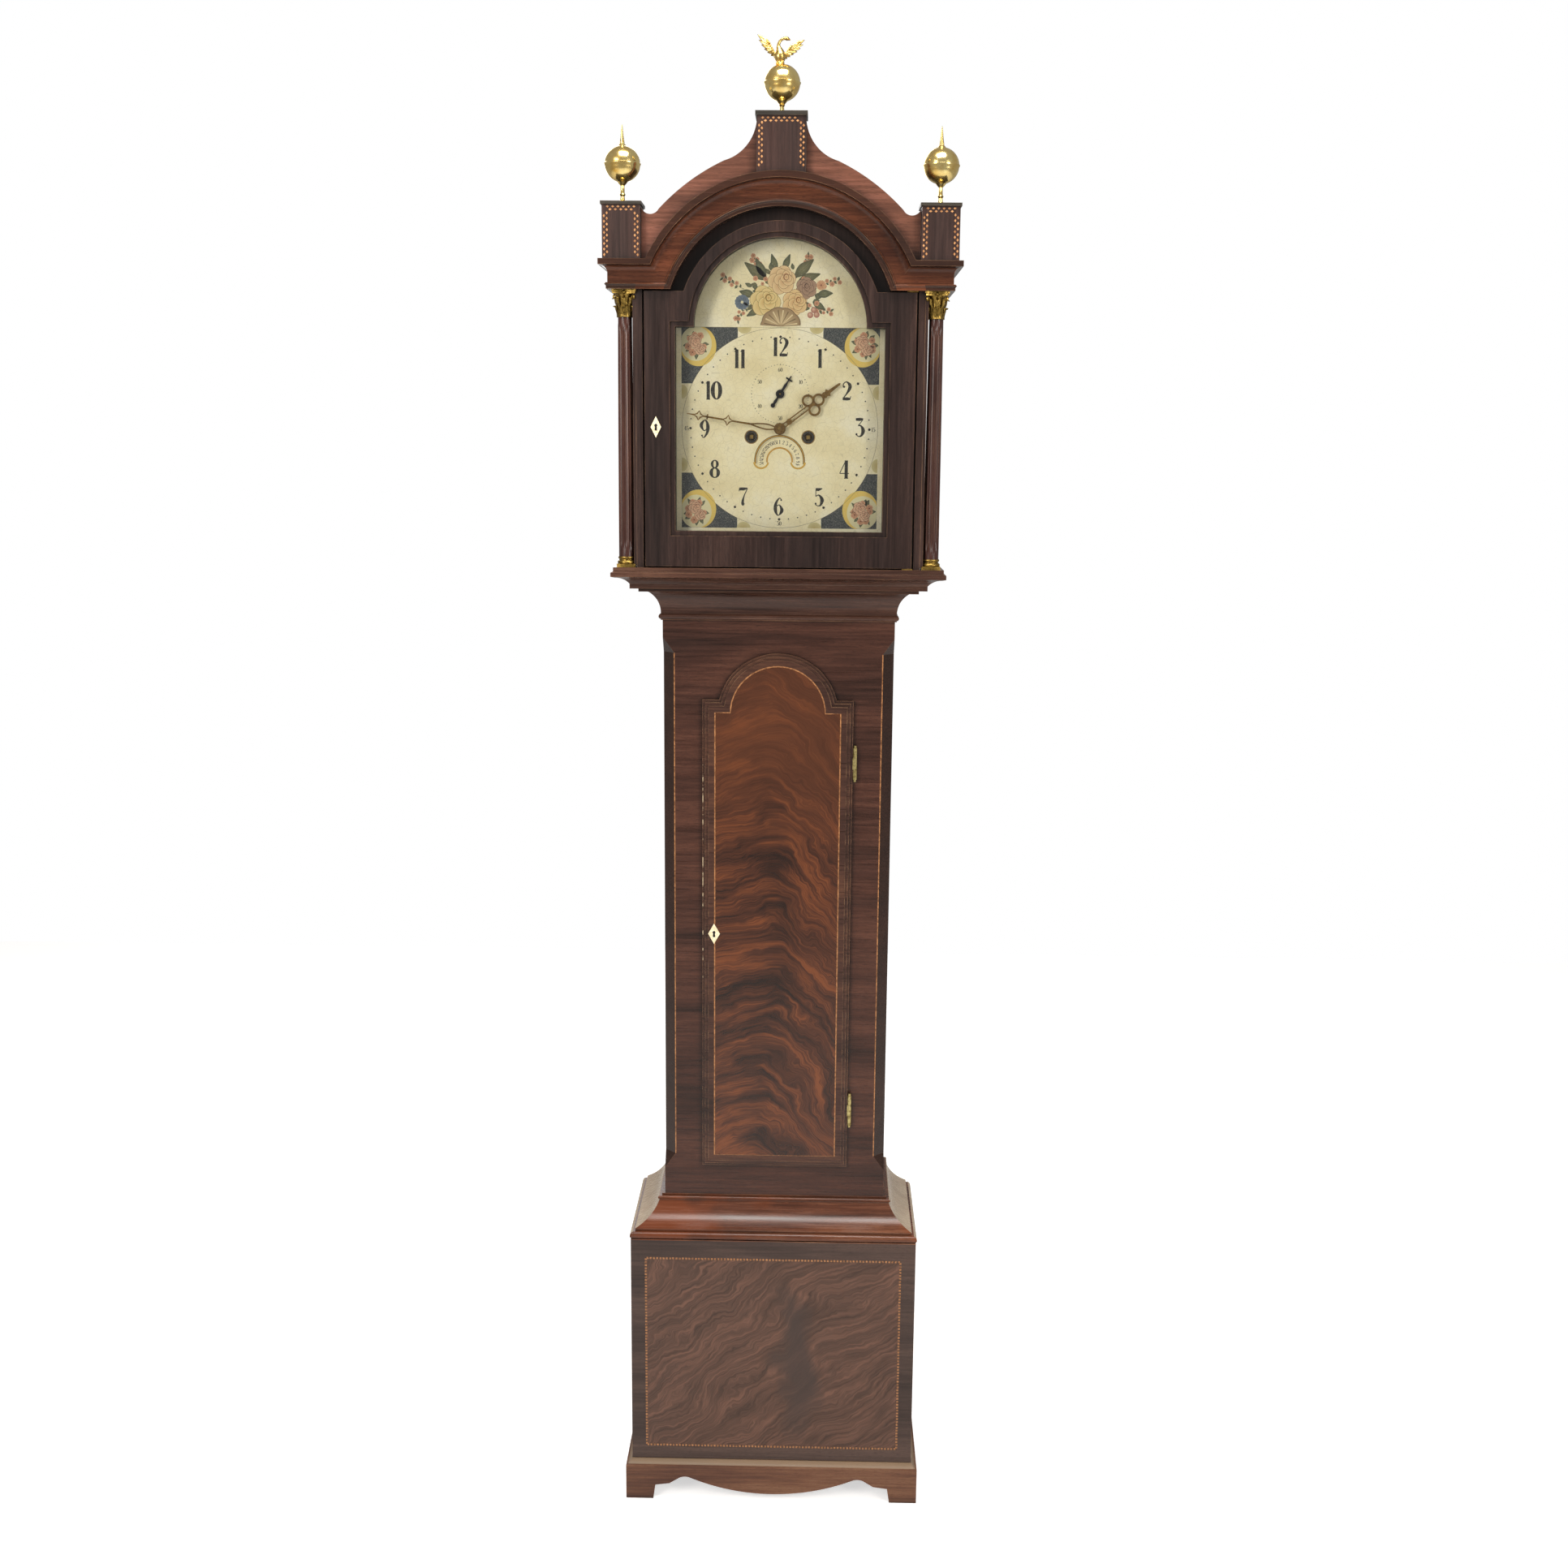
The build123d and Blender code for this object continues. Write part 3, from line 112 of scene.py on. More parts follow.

# %% [markdown]
# ## Mahogany
#
# The case is Cuban mahogany under two centuries of wax. Three things make it read as that wood: slow
# bands of darker and lighter heartwood, fine streaks along the grain, and short dark pores about
# 0.3 mm wide, drawn here as 0.6 mm so that they still show. Wax fills the pores, so the surface is
# smooth with a soft sheen, and edges that hands and dusters reach are rubbed lighter; on the door
# band, where this is set strongest, the pale edges are also a painted highlight. The Bevel node finds
# those edges: where its rounded normal leaves the true one, there is an edge. The quirks and recesses,
# which the Ambient Occlusion node finds within 14 mm, get painted shade mixed towards near black.

# %% Mahogany
def mahogany(name, dark, middle, light, grain="Z", sheen=0.36, worn=0.5, extra=None, spread=0.16):
    made, tree, place = new_material(name)
    along = {"X": 0, "Y": 1, "Z": 2}[grain]

    def stretched(across_mm, along_mm, detail=4.0, twist=0.0):
        scale = [1000.0 / across_mm] * 3
        scale[along] = 1000.0 / along_mm
        moved = add_node(tree, "Mapping", None, {"Vector": place, "Scale": scale})
        return add_node(tree, "TexNoise", None,
                        {"Vector": moved, "Scale": 1.0, "Detail": detail, "Distortion": twist})

    bands = stretched(55, 420, 3, 0.6)
    streaks = stretched(3.5, 90, 5, 0.3)
    pores = stretched(0.6, 9, 2)
    quick = add_node(tree, "Math", times, {0: streaks, 1: 0.38})
    grey = add_node(tree, "Math", times_plus, {0: bands, 1: 0.62, 2: quick})
    tone = add_node(tree, "ValToRGB", None, {0: grey},
                    stops=[(0.5 - spread, dark), (0.5, middle), (0.5 + spread, light)])
    filled = add_node(tree, "ValToRGB", None, {0: pores}, stops=[(0.36, 0.55), (0.45, 0.0)])
    tone = add_node(tree, "Mix", tinted, {0: filled, 6: tone, 7: colour(dark)}, out=2)
    if extra:
        tone = extra(tree, place, tone)
    rounded = add_node(tree, "Bevel", {"samples": 4}, {"Radius": 0.0016})
    true = add_node(tree, "NewGeometry", out="Normal")
    meet = add_node(tree, "VectorMath", {"operation": "DOT_PRODUCT"}, {0: rounded, 1: true}, out="Value")
    bent = add_node(tree, "Math", minus, {0: 1.0, 1: meet})
    edge = add_node(tree, "Math", times, {0: bent, 1: 3.2})
    edge = add_node(tree, "Math", least, {0: edge, 1: 1.0})
    patchy = add_node(tree, "ValToRGB", None, {0: stretched(14, 60, 3)}, stops=[(0.42, 0.15), (0.62, 1.0)])
    patchy = add_node(tree, "Math", times, {0: patchy, 1: worn})
    worn_and_highlit_edges = add_node(tree, "Math", times, {0: edge, 1: patchy})
    # Pale edges: rubbed wear, and on the door band, set strongest, also a painted highlight
    tone = add_node(tree, "Mix", tinted, {0: worn_and_highlit_edges, 6: tone, 7: colour("#a07a5c")}, out=2)
    # Painted shade: the colour in recesses that Ambient Occlusion finds is mixed towards near black
    openness = add_node(tree, "AmbientOcclusion", {"samples": 4, "only_local": False}, {"Distance": 0.014},
                        out="AO")
    recess_painted_shade = add_node(tree, "ValToRGB", None, {0: openness}, stops=[(0.35, 0.85), (0.85, 0.0)])
    tone = add_node(tree, "Mix", tinted, {0: recess_painted_shade, 6: tone, 7: colour("#120b09")}, out=2)
    gloss = add_node(tree, "ValToRGB", None, {0: streaks}, stops=[(0.3, sheen - 0.05), (0.7, sheen + 0.08)])
    bump = add_node(tree, "Bump", None, {"Height": pores, "Strength": 0.12, "Distance": 0.0002})
    close_material(tree, {"Base Color": tone, "Roughness": gloss, "Normal": bump, "Coat Weight": 0.08,
                          "Coat Roughness": 0.2, "IOR": 1.38})
    return made


def finish(name, material):
    """Give a CAD piece one finish all over."""
    finishes = nodes[name].data.materials
    if not finishes:
        finishes.append(material)
    for i in range(len(finishes)):
        finishes[i] = material


def lighter_top_edge(tree, place, tone):
    """The upper edge of the bracket plinth, above 58.5 mm, is mixed towards a pale grey-brown."""
    height = add_node(tree, "SeparateXYZ", None, {0: place}, out="Z")
    rim = add_node(tree, "Math", above, {0: height, 1: 0.0585})
    pale_rim_share = add_node(tree, "Math", times, {0: rim, 1: 0.55})
    return add_node(tree, "Mix", tinted, {0: pale_rim_share, 6: tone, 7: colour("#8e7c64")}, out=2)


def facing(tree):
    """How much a face looks sideways, and how much it looks up."""
    way = add_node(tree, "NewGeometry", out="Normal")
    sideways = add_node(tree, "SeparateXYZ", None, {0: way}, out="X")
    upwards = add_node(tree, "SeparateXYZ", None, {0: way}, out="Z")
    return add_node(tree, "Math", size_of, {0: sideways}), upwards


def shaded_chamfer_and_flanks(tree, place, tone):
    """The long chamfers and the flanks of the trunk, the faces that turn sideways, get painted shade mixed
    towards near black.
    """
    sideways = facing(tree)[0]
    side_facing_painted_light = add_node(tree, "ValToRGB", None, {0: sideways}, stops=[(0.3, 0.0), (0.5, 0.75)])
    return add_node(tree, "Mix", tinted, {0: side_facing_painted_light, 6: tone, 7: colour("#23140d")}, out=2)


def cornice_members(tree, place, tone):
    """The fascia and the lowest bead of the cornice are nearly black, and only the cove glows red.

    Over the arch a member is a ring round its middle, and on the straight parts it is a level.
    """
    arch_middle, arch_reach, bead_reach, fascia_reach = 1.826, 0.2095, 0.1705, 0.1975
    bead_level, fascia_level = 1.8835, 1.9065
    flat = add_node(tree, "VectorMath", times_plus, {0: place, 1: (1, 0, 1), 2: (0, 0, -arch_middle)})
    reach = add_node(tree, "VectorMath", {"operation": "LENGTH"}, {0: flat}, out="Value")
    height = add_node(tree, "SeparateXYZ", None, {0: place}, out="Z")
    arched = add_node(tree, "Math", below, {0: reach, 1: arch_reach})
    straight = add_node(tree, "Math", minus, {0: 1.0, 1: arched})
    in_bead = add_node(tree, "Math", below, {0: reach, 1: bead_reach})
    past_cove = add_node(tree, "Math", above, {0: reach, 1: fascia_reach})
    under_cove = add_node(tree, "Math", below, {0: height, 1: bead_level})
    over_cove = add_node(tree, "Math", above, {0: height, 1: fascia_level})
    in_fascia = add_node(tree, "Math", times, {0: past_cove, 1: over_cove})
    ring = add_node(tree, "Math", most, {0: in_bead, 1: in_fascia})
    level = add_node(tree, "Math", most, {0: under_cove, 1: over_cove})
    ring = add_node(tree, "Math", times, {0: arched, 1: ring})
    level = add_node(tree, "Math", times, {0: straight, 1: level})
    dark = add_node(tree, "Math", most, {0: ring, 1: level})
    dark = add_node(tree, "Math", times, {0: dark, 1: 0.8})
    return add_node(tree, "Mix", tinted, {0: dark, 6: tone, 7: colour("#271a15")}, out=2)


def returns_wall_reflection(tree, place, tone):
    """The upward slopes at the sides of the base moulding get a painted reflection of the pale wall, a
    grey-brown laid over warm red patches that vary at random.
    """
    sideways, upwards = facing(tree)
    side_facing_painted_light = add_node(tree, "ValToRGB", None, {0: sideways}, stops=[(0.2, 0.0), (0.3, 1.0)])
    shelf = add_node(tree, "ValToRGB", None, {0: upwards}, stops=[(0.1, 0.0), (0.3, 1.0)])
    slope = add_node(tree, "Math", times, {0: side_facing_painted_light, 1: shelf})
    patches = add_node(tree, "TexNoise", None, {"Vector": place, "Scale": 30.0, "Detail": 5})
    thickness = add_node(tree, "ValToRGB", None, {0: patches}, stops=[(0.3, 0.7), (0.6, 0.95)])
    painted_wall_reflection = add_node(tree, "Math", times, {0: slope, 1: thickness})
    glow = add_node(tree, "TexNoise", None, {"Vector": place, "Scale": 9.0})
    warm = add_node(tree, "ValToRGB", None, {0: glow}, stops=[(0.5, 0.0), (0.6, 0.5)])
    tone = add_node(tree, "Mix", tinted, {0: warm, 6: tone, 7: colour("#7a3c1c")}, out=2)
    # Painted reflection: the grey-brown of a white wall seen at a glancing angle
    return add_node(tree, "Mix", tinted, {0: painted_wall_reflection, 6: tone, 7: colour("#a89884")}, out=2)


# Hood boards: old polish gone nearly black
hood_wood = mahogany("waxed_mahogany_hood", "#190f0d", "#291a16", "#3c2923", "Z", 0.34, 0.45)
# Scrolled crest: redder wood that has lost its shine
crest_wood = mahogany("waxed_mahogany_crest", "#3e241b", "#623c2d", "#805040", "X", 0.38, 0.3)
# Cornice: a red and glossy cove between dark members
cove_wood = mahogany("waxed_mahogany_cove", "#2e160e", "#4a2818", "#6a3a24", "X", 0.2, 0.7, cornice_members)
# Blocks under the finials: dark and dull, because no hand reaches them
plinth_wood = mahogany("waxed_mahogany_plinth_block", "#251714", "#37231e", "#4a302a", "Z", 0.42, 0.25)
# Caps of those blocks: dark, and greyish with dust
cap_wood = mahogany("waxed_mahogany_cap", "#1f1b18", "#2e2a24", "#3a342c", "X", 0.4, 0.3)
# Column shafts: turned smooth, so they shine a little more
column_wood = mahogany("waxed_mahogany_column", "#2a1714", "#40241e", "#5a342a", "Z", 0.28, 0.5)
# Trunk front: brown with streaks across, with painted shade on its chamfers and flanks
trunk_wood = mahogany("waxed_mahogany_trunk", "#26150f", "#41261d", "#583629", "X", 0.3, 0.45, shaded_chamfer_and_flanks)
# Sides of the case: plain upright boards
side_wood = mahogany("waxed_mahogany_side", "#2c1a13", "#442820", "#5e3b2c", "Z", 0.34, 0.4)
# Base moulding: rubbed to a red glow, with a painted pale reflection on its returns
base_mould = mahogany("waxed_mahogany_base_moulding", "#341d14", "#583222", "#7e5038", "X", 0.24, 0.6,
                      returns_wall_reflection)
# Hood base and throat mouldings: cross-grained and glossy
mould_wood = mahogany("waxed_mahogany_moulding", "#2e1c16", "#4a3026", "#6a4a3a", "X", 0.24, 0.6)
# Band round the base panel: short dull grain
crossband = mahogany("waxed_mahogany_crossband", "#2a1e1a", "#40302a", "#544038", "X", 0.36, 0.35)
# Bracket feet: bleached and dry from floors and mops
feet_wood = mahogany("waxed_mahogany_feet", "#46291e", "#684430", "#7e5a42", "X", 0.5, 0.5, lighter_top_edge)
for name, wood in (("hood_carcass", hood_wood), ("hood_mask", hood_wood), ("hood_door_frame", hood_wood),
                   ("hood_base", mould_wood), ("cornice", cove_wood), ("pediment_wings", crest_wood),
                   ("plinth_blocks", plinth_wood), ("plinth_caps", cap_wood), ("columns", column_wood),
                   ("trunk_frame", trunk_wood), ("trunk_sides", side_wood), ("throat_moulding", mould_wood),
                   ("base_moulding", base_mould), ("base_front", crossband), ("base_carcass", side_wood),
                   ("bracket_feet", feet_wood)):
    finish(name, wood)
print("mahogany finishes done")

# %% [markdown]
# ## Pine, brass, steel, bone and gut
#
# Behind the show wood the backboard and the seatboard are bare pine, pale and dry. The movement is
# brass, lacquered by time to a warm brown in the corners, and its arbors are polished steel. The
# escutcheons are turned bone, and the lines are twisted gut. A metal keeps the default IOR, because
# its colour and its roughness do the work.

# %% Pine and metals
def pine_board():
    """Unpolished pine with soft rings along the board, greyed by the air."""
    made, tree, place = new_material("bare_pine")
    moved = add_node(tree, "Mapping", None, {"Vector": place, "Scale": (60, 60, 4)})
    rings = add_node(tree, "TexNoise", None, {"Vector": moved, "Scale": 1.0, "Detail": 5, "Distortion": 1.2})
    tone = add_node(tree, "ValToRGB", None, {0: rings},
                    stops=[(0.3, "#8a7660"), (0.5, "#a8957f"), (0.7, "#b8a88f")])
    bump = add_node(tree, "Bump", None, {"Height": rings, "Strength": 0.3, "Distance": 0.0006})
    close_material(tree, {"Base Color": tone, "Normal": bump, "Roughness": 0.85, "IOR": 1.45})
    return made


def metal(name, deep, bright, rough, spot_mm=6.0, hollows=0.6, metallic=1.0):
    """Bright metal whose hollows and flats have darkened in patches of a few millimetres."""
    made, tree, place = new_material(name)
    patches = add_node(tree, "TexNoise", None,
                       {"Vector": place, "Scale": 1000.0 / spot_mm, "Detail": 4, "Roughness": 0.6})
    tone = add_node(tree, "ValToRGB", None, {0: patches},
                    stops=[(0.5 - 0.25 * hollows, deep), (0.5 + 0.12 * hollows, bright)])
    gloss = add_node(tree, "ValToRGB", None, {0: patches},
                     stops=[(0.3, min(1.0, rough + 0.12)), (0.65, rough)])
    close_material(tree, {"Base Color": tone, "Roughness": gloss, "Metallic": metallic})
    return made


# Movement: brass whose lacquer is a warm brown in the hollows
brass = metal("aged_brass", "#6a5026", "#b0904e", 0.30)
# Hinges: brass rubbed pale by use
pale_brass = metal("rubbed_brass_hinge", "#8c7a48", "#d0c084", 0.34)
# Finials: gilt brass kept bright, almost a mirror
gilt = metal("polished_gilt_brass", "#d6a84c", "#fbe49c", 0.15, 24.0, 0.9)
# Eagle: cast brass whose gilding is worn
bird_gilt = metal("worn_gilt_eagle", "#86652a", "#e6c67a", 0.24, 6.0)
# Capitals and column bases: old gilding, dark in every hollow
old_gilt = metal("aged_gilt_brass", "#3e2f16", "#a08444", 0.34, 3.0, 0.9)
# Locks, anchor, hammer and rod: steel polished to a plain grey
steel = metal("polished_steel", "#55565a", "#8c8e92", 0.28)
# Weights: cast iron with a dull rough skin
iron = metal("cast_iron_weight", "#1c1b1b", "#343230", 0.62, 9.0, 0.6, 0.6)
# Seconds hand: steel heated until it turns blue-black
blued = metal("blued_steel", "#0e0e12", "#1e1d24", 0.38, 5.0, 0.5, 0.7)
# Hour and minute hands: sawn brass gone dull and brown
hand_brass = metal("pierced_brass_hand", "#6a4e28", "#94723c", 0.36, 4.0)
# Backboard and seatboard: pale pine
pine = pine_board()
for name in ("backboard", "seatboard"):
    finish(name, pine)
for name in ("movement_posts", "movement_plates", "back_cock", "bell", "hood_pivots", "centre_arbor",
             "hour_wheel", "escape_wheel", "third_wheel", "going_great_wheel", "strike_great_wheel",
             "reverse_wheel", "going_barrel", "strike_barrel", "going_pulley", "strike_pulley",
             "pendulum_bob"):
    finish(name, brass)
for name in ("bell_stand", "hood_lock", "trunk_lock", "anchor", "hammer", "pendulum_rod"):
    finish(name, steel)
for name in ("going_weight", "strike_weight"):
    finish(name, iron)
finish("finials", gilt)
for name in ("capitals", "column_bases"):
    finish(name, old_gilt)
for name in ("hour_hand", "minute_hand"):
    finish(name, hand_brass)
finish("seconds_hand", blued)
for name in ("trunk_hinges_fixed", "trunk_hinges_moving"):
    finish(name, pale_brass)

# %% Bone, gut, glass
def plain_finish(name, deep, pale, grain_mm, shading):
    """One colour that clouds a little, over a grain of a few millimetres."""
    made, tree, place = new_material(name)
    grain = add_node(tree, "TexNoise", None, {"Vector": place, "Scale": 1000.0 / grain_mm, "Detail": 3})
    tone = add_node(tree, "ValToRGB", None, {0: grain}, stops=[(0.35, deep), (0.62, pale)])
    close_material(tree, {"Base Color": tone, **shading})
    return made


# Escutcheons: turned bone, a warm cream with a soft polish
bone = plain_finish("turned_bone", "#d9c79c", "#f0e5c6", 2.5, {"Roughness": 0.38, "IOR": 1.54})
# Lines: twisted gut, straw-coloured and dull
gut = plain_finish("twisted_gut", "#9a845c", "#c4ae84", 1.5, {"Roughness": 0.6})
for name in ("hood_escutcheon", "trunk_escutcheon"):
    finish(name, bone)
for name in ("going_line", "strike_line"):
    finish(name, gut)


def crown_glass():
    """Old window glass: almost clear from the front, with a soft reflection that grows at a slant."""
    made = bpy.data.materials.new("crown_glass")
    tree = empty_tree(made)
    clear = add_node(tree, "BsdfTransparent", None, {"Color": (0.995, 1.0, 0.985, 1)})
    shine = add_node(tree, "BsdfGlossy", None, {"Color": (1, 1, 1, 1), "Roughness": 0.03})
    slant = add_node(tree, "Fresnel", None, {"IOR": 1.45})
    both = add_node(tree, "MixShader", None, {0: slant, 1: clear, 2: shine})
    add_node(tree, "OutputMaterial", None, {"Surface": both})
    return made


finish("hood_glass", crown_glass())
print("metals, bone, gut and glass done")

# %% [markdown]
# ## Turned brass finials
#
# Each finial was spun from sheet brass in two halves and soldered round the middle, which leaves a
# fine ridge at the widest part. A turned thing has one profile, so the profile is drawn once, as a
# chain of edges, and Blender's Spin sweeps it round. Sixty steps keep the ball round at this size.
# Lengths are written in millimetres, as on a drawing, and one value turns them to metres.

# %% Turning
mm = 0.001


def clear_selection():
    for each in bpy.context.selected_objects:
        each.select_set(False)


def take_up(piece):
    """Make one piece the selected and active one."""
    clear_selection()
    piece.select_set(True)
    bpy.context.view_layer.objects.active = piece


def settle(piece, name, material, body, angle=35):
    """Apply the place, name the piece, smooth its gentle edges, give it a finish and a body."""
    take_up(piece)
    bpy.ops.object.transform_apply(location=True, rotation=True, scale=True)
    bpy.ops.object.shade_smooth_by_angle(angle=math.radians(angle))
    piece.name = name
    piece.data.name = name
    piece.data.materials.clear()
    piece.data.materials.append(material)
    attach(piece, body)
    return piece


def from_points(name, points, edges, faces):
    mesh = bpy.data.meshes.new(name)
    mesh.from_pydata(points, edges, faces)
    piece = bpy.data.objects.new(name, mesh)
    bpy.context.scene.collection.objects.link(piece)
    take_up(piece)
    return piece


def tube_faces(rows, around):
    """Faces of a tube made of rings of points, closed at both ends."""
    faces = []
    for row in range(rows):
        for k in range(around):
            after = (k + 1) % around
            low, high = row * around, (row + 1) * around
            faces.append((low + k, low + after, high + after, high + k))
    faces.append(tuple(reversed(range(around))))
    faces.append(tuple(range(rows * around, (rows + 1) * around)))
    return faces


def turn_profile(name, profile, x, y, steps=60):
    """Spin a chain of (radius, height) points round an upright axis."""
    points = [((x + radius) * mm, y * mm, height * mm) for radius, height in profile]
    piece = from_points(name, points, [(i, i + 1) for i in range(len(points) - 1)], [])
    bpy.ops.object.mode_set(mode="EDIT")
    bpy.ops.mesh.select_all(action="SELECT")
    bpy.ops.mesh.spin(steps=steps, angle=math.tau, center=(x * mm, y * mm, 0), axis=(0, 0, 1))
    bpy.ops.mesh.select_all(action="SELECT")
    bpy.ops.mesh.remove_doubles(threshold=0.00001)
    bpy.ops.mesh.normals_make_consistent(inside=False)
    bpy.ops.object.mode_set(mode="OBJECT")
    return piece


def ball_profile(foot, middle, spire):
    """A stem, a ball with a ridge round its middle, and a spire if there is one."""
    steps = [(0, foot), (8.2, foot), (8.4, foot + 1.6), (6.6, foot + 2.6), (3.4, foot + 4.2),
             (2.8, foot + 9), (4.2, foot + 11.4), (3.0, foot + 13.6),
             (2.8, middle - 29), (5.6, middle - 26), (6.8, middle - 24.4)]
    for turn in range(-72, 0, 6):
        angle = math.radians(turn)
        steps.append((25 * math.cos(angle), middle + 24.6 * math.sin(angle)))
    steps += [(25.9, middle - 0.5), (25.9, middle + 0.5)]
    for turn in range(4, 79, 6):
        angle = math.radians(turn)
        steps.append((25 * math.cos(angle), middle + 24.6 * math.sin(angle)))
    if spire:
        steps += [(5, middle + 25.4), (3.4, middle + 27), (3.2, middle + 29.5), (2.2, middle + 36),
                  (1.1, middle + 47), (0.5, spire - 0.6), (0, spire)]
    else:
        steps += [(0, middle + 25)]
    return steps


# %% Finials in place
finial_x, finial_y = 221.5, -97.5
for name, x, foot, middle, spire in (("finial_left", -finial_x, 1992.7, 2045, 2097.5),
                                     ("finial_right", finial_x, 1992.7, 2045, 2097.5),
                                     ("finial_middle", 0, 2112, 2152.5, None)):
    ball = turn_profile(name, ball_profile(foot, middle, spire), x, finial_y)
    settle(ball, name, gilt, "hood", 28)
    print(name, "faces", len(ball.data.polygons))

# %% [markdown]
# ## The eagle
#
# A small cast bird with raised wings and a bent neck stands on the middle ball. A caster models the
# body as one swelling form, so it is a curve here, with a thickness given at each point and then
# turned into a mesh. The wings are fans of separate feathers, each a thin bent blade that overlaps
# the next, which catches the light as the chased feathers of the casting do.

# %% Body and neck
def swelling(name, path, resolution=5):
    """A round form along a path of (x, y, z, radius) points."""
    curve = bpy.data.curves.new(name, "CURVE")
    curve.dimensions = "3D"
    curve.bevel_depth = mm
    curve.bevel_resolution = resolution
    curve.resolution_u = 8
    curve.use_fill_caps = True
    line = curve.splines.new("NURBS")
    line.points.add(len(path) - 1)
    for point, (x, y, z, radius) in zip(line.points, path):
        point.co = (x * mm, y * mm, z * mm, 1)
        point.radius = radius
    line.order_u = 3
    line.use_endpoint_u = True
    piece = bpy.data.objects.new(name, curve)
    bpy.context.scene.collection.objects.link(piece)
    take_up(piece)
    bpy.ops.object.convert(target="MESH")
    return bpy.context.object


bird_y = finial_y
body_path = [(-2.6, 2176, 7), (-2.8, 2179, 4.6), (-3.1, 2183, 7.5), (-3.2, 2189, 8.4), (-4.2, 2195, 5),
             (-5.6, 2199.5, 2.8), (-5.2, 2204, 2.1), (-2.2, 2208.4, 1.9), (2.4, 2210.6, 2),
             (5.8, 2210.2, 2.9), (7.6, 2209.6, 2.2), (11, 2208, 0.4)]
bird = swelling("eagle_body", [(x, bird_y, z, reach) for x, z, reach in body_path])
settle(bird, "eagle_body", bird_gilt, "hood")
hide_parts("finials")


# %% Wings
def feather(root, tip, wide, lean, lift):
    """Points and faces of one blade in the plane of the wing, bent back towards its tip."""
    along = Vector(tip) - Vector(root)
    across = Vector((-along.y, along.x)).normalized()
    points, faces = [], []
    for i in range(7):
        t = i / 6
        middle = Vector(root) + along * t
        half = wide * (0.55 + 0.45 * math.sin(math.pi * min(1.0, t * 1.15))) * math.sqrt(max(0.0, 1 - t ** 4))
        depth = bird_y + lift + lean * t * t
        for side in (-1, 0, 1):
            spot = middle + across * (half * side)
            points.append((spot.x * mm, (depth + abs(side) * 0.35) * mm, spot.y * mm))
    for i in range(6):
        for k in range(2):
            first = i * 3 + k
            faces.append((first, first + 1, first + 4, first + 3))
    return points, faces


def wing(name, shoulder, wrist, tips):
    """Long feathers from wrist to shoulder, with two rows of short ones over their roots."""
    points, faces = [], []
    for i, tip in enumerate(tips):
        t = i / (len(tips) - 1)
        root = Vector(wrist).lerp(Vector(shoulder), t)
        more, joins = feather(root, tip, 3.6 - 0.7 * t, 5.0, 0.4 * (i % 2) - 0.6 * t)
        faces += [tuple(len(points) + j for j in join) for join in joins]
        points += more
    for row, (reach, wide) in enumerate(((0.55, 2.6), (0.34, 2.8))):
        for i, tip in enumerate(tips):
            t = i / (len(tips) - 1)
            root = Vector(wrist).lerp(Vector(shoulder), t)
            short = root.lerp(Vector(tip), reach)
            more, joins = feather(root, short, wide, 2.0, -0.9 - 0.7 * row)
            faces += [tuple(len(points) + j for j in join) for join in joins]
            points += more
    piece = from_points(name, points, [], faces)
    thick = piece.modifiers.new("thick", "SOLIDIFY")
    thick.thickness = 1.1 * mm
    thick.offset = 0
    soft = piece.modifiers.new("soft", "SUBSURF")
    soft.levels = soft.render_levels = 1
    for modifier in ("thick", "soft"):
        bpy.ops.object.modifier_apply(modifier=modifier)
    settle(piece, name, bird_gilt, "hood", 60)


left_tips = [(-34.8, 2216.6), (-33, 2209.5), (-29.5, 2203), (-25.5, 2197.5), (-21, 2193), (-16, 2189),
             (-11.5, 2185.5)]
right_tips = [(30.6, 2209.6), (28.6, 2203.6), (25, 2198.4), (20.6, 2194), (15.6, 2190.4), (10.8, 2187.4),
              (6.4, 2184.6)]
wing("eagle_wing_left", (-8, 2189), (-17, 2202), left_tips)
wing("eagle_wing_right", (1.5, 2189), (11, 2199), right_tips)
for name, x in (("eagle_talon_left", -6.2), ("eagle_talon_right", 0.6)):
    claw = swelling(name, [(x, bird_y - 1, 2183, 2.2), (x * 1.1, bird_y - 3, 2179, 1.6),
                           (x * 1.25, bird_y - 6.5, 2176.4, 1.3), (x * 1.35, bird_y - 8.5, 2175, 0.5)])
    settle(claw, name, bird_gilt, "hood")
print("eagle done")

# %% [markdown]
# ## Column capitals and bases
#
# The column ends are cast brass in the Corinthian manner: a bell clothed in two rows of curling
# leaves, small scrolls under the corners, and a thin plate with hollow sides on top. A founder
# carves one leaf and repeats it, and so does this cell: one blade is shaped, bent outwards at its
# tip and copied round.

# %% Leaves and scrolls
column_x, column_y = 220.0, -94.0
capital_foot, plate_foot = 1838.6, 1870.4


def curling_leaf(angle, low, high, inner, outer, wide):
    """Points and faces of one leaf with three lobes a side that curls out at its top."""
    points, faces = [], []
    rows = 9
    for i in range(rows + 1):
        t = i / rows
        reach = inner + (outer - inner) * t ** 2.2
        risen = math.sin(t * 0.62 * math.pi) / math.sin(0.62 * math.pi) if t > 0.75 else t * 1.06
        height = low + (high - low) * risen
        lobes = 0.8 + 0.2 * abs(math.sin(t * 3.5 * math.pi))
        half = wide * lobes * math.sqrt(max(0.02, 1 - t ** 3)) / 2
        for k in range(-2, 3):
            side = half * k / 2
            ridge = 0.7 * abs(k) / 2 - (0.5 if k == 0 else 0)
            out = reach - ridge
            points.append((out * math.cos(angle) - side * math.sin(angle),
                           out * math.sin(angle) + side * math.cos(angle), height))
    for i in range(rows):
        for k in range(4):
            first = i * 5 + k
            faces.append((first, first + 1, first + 6, first + 5))
    return points, faces


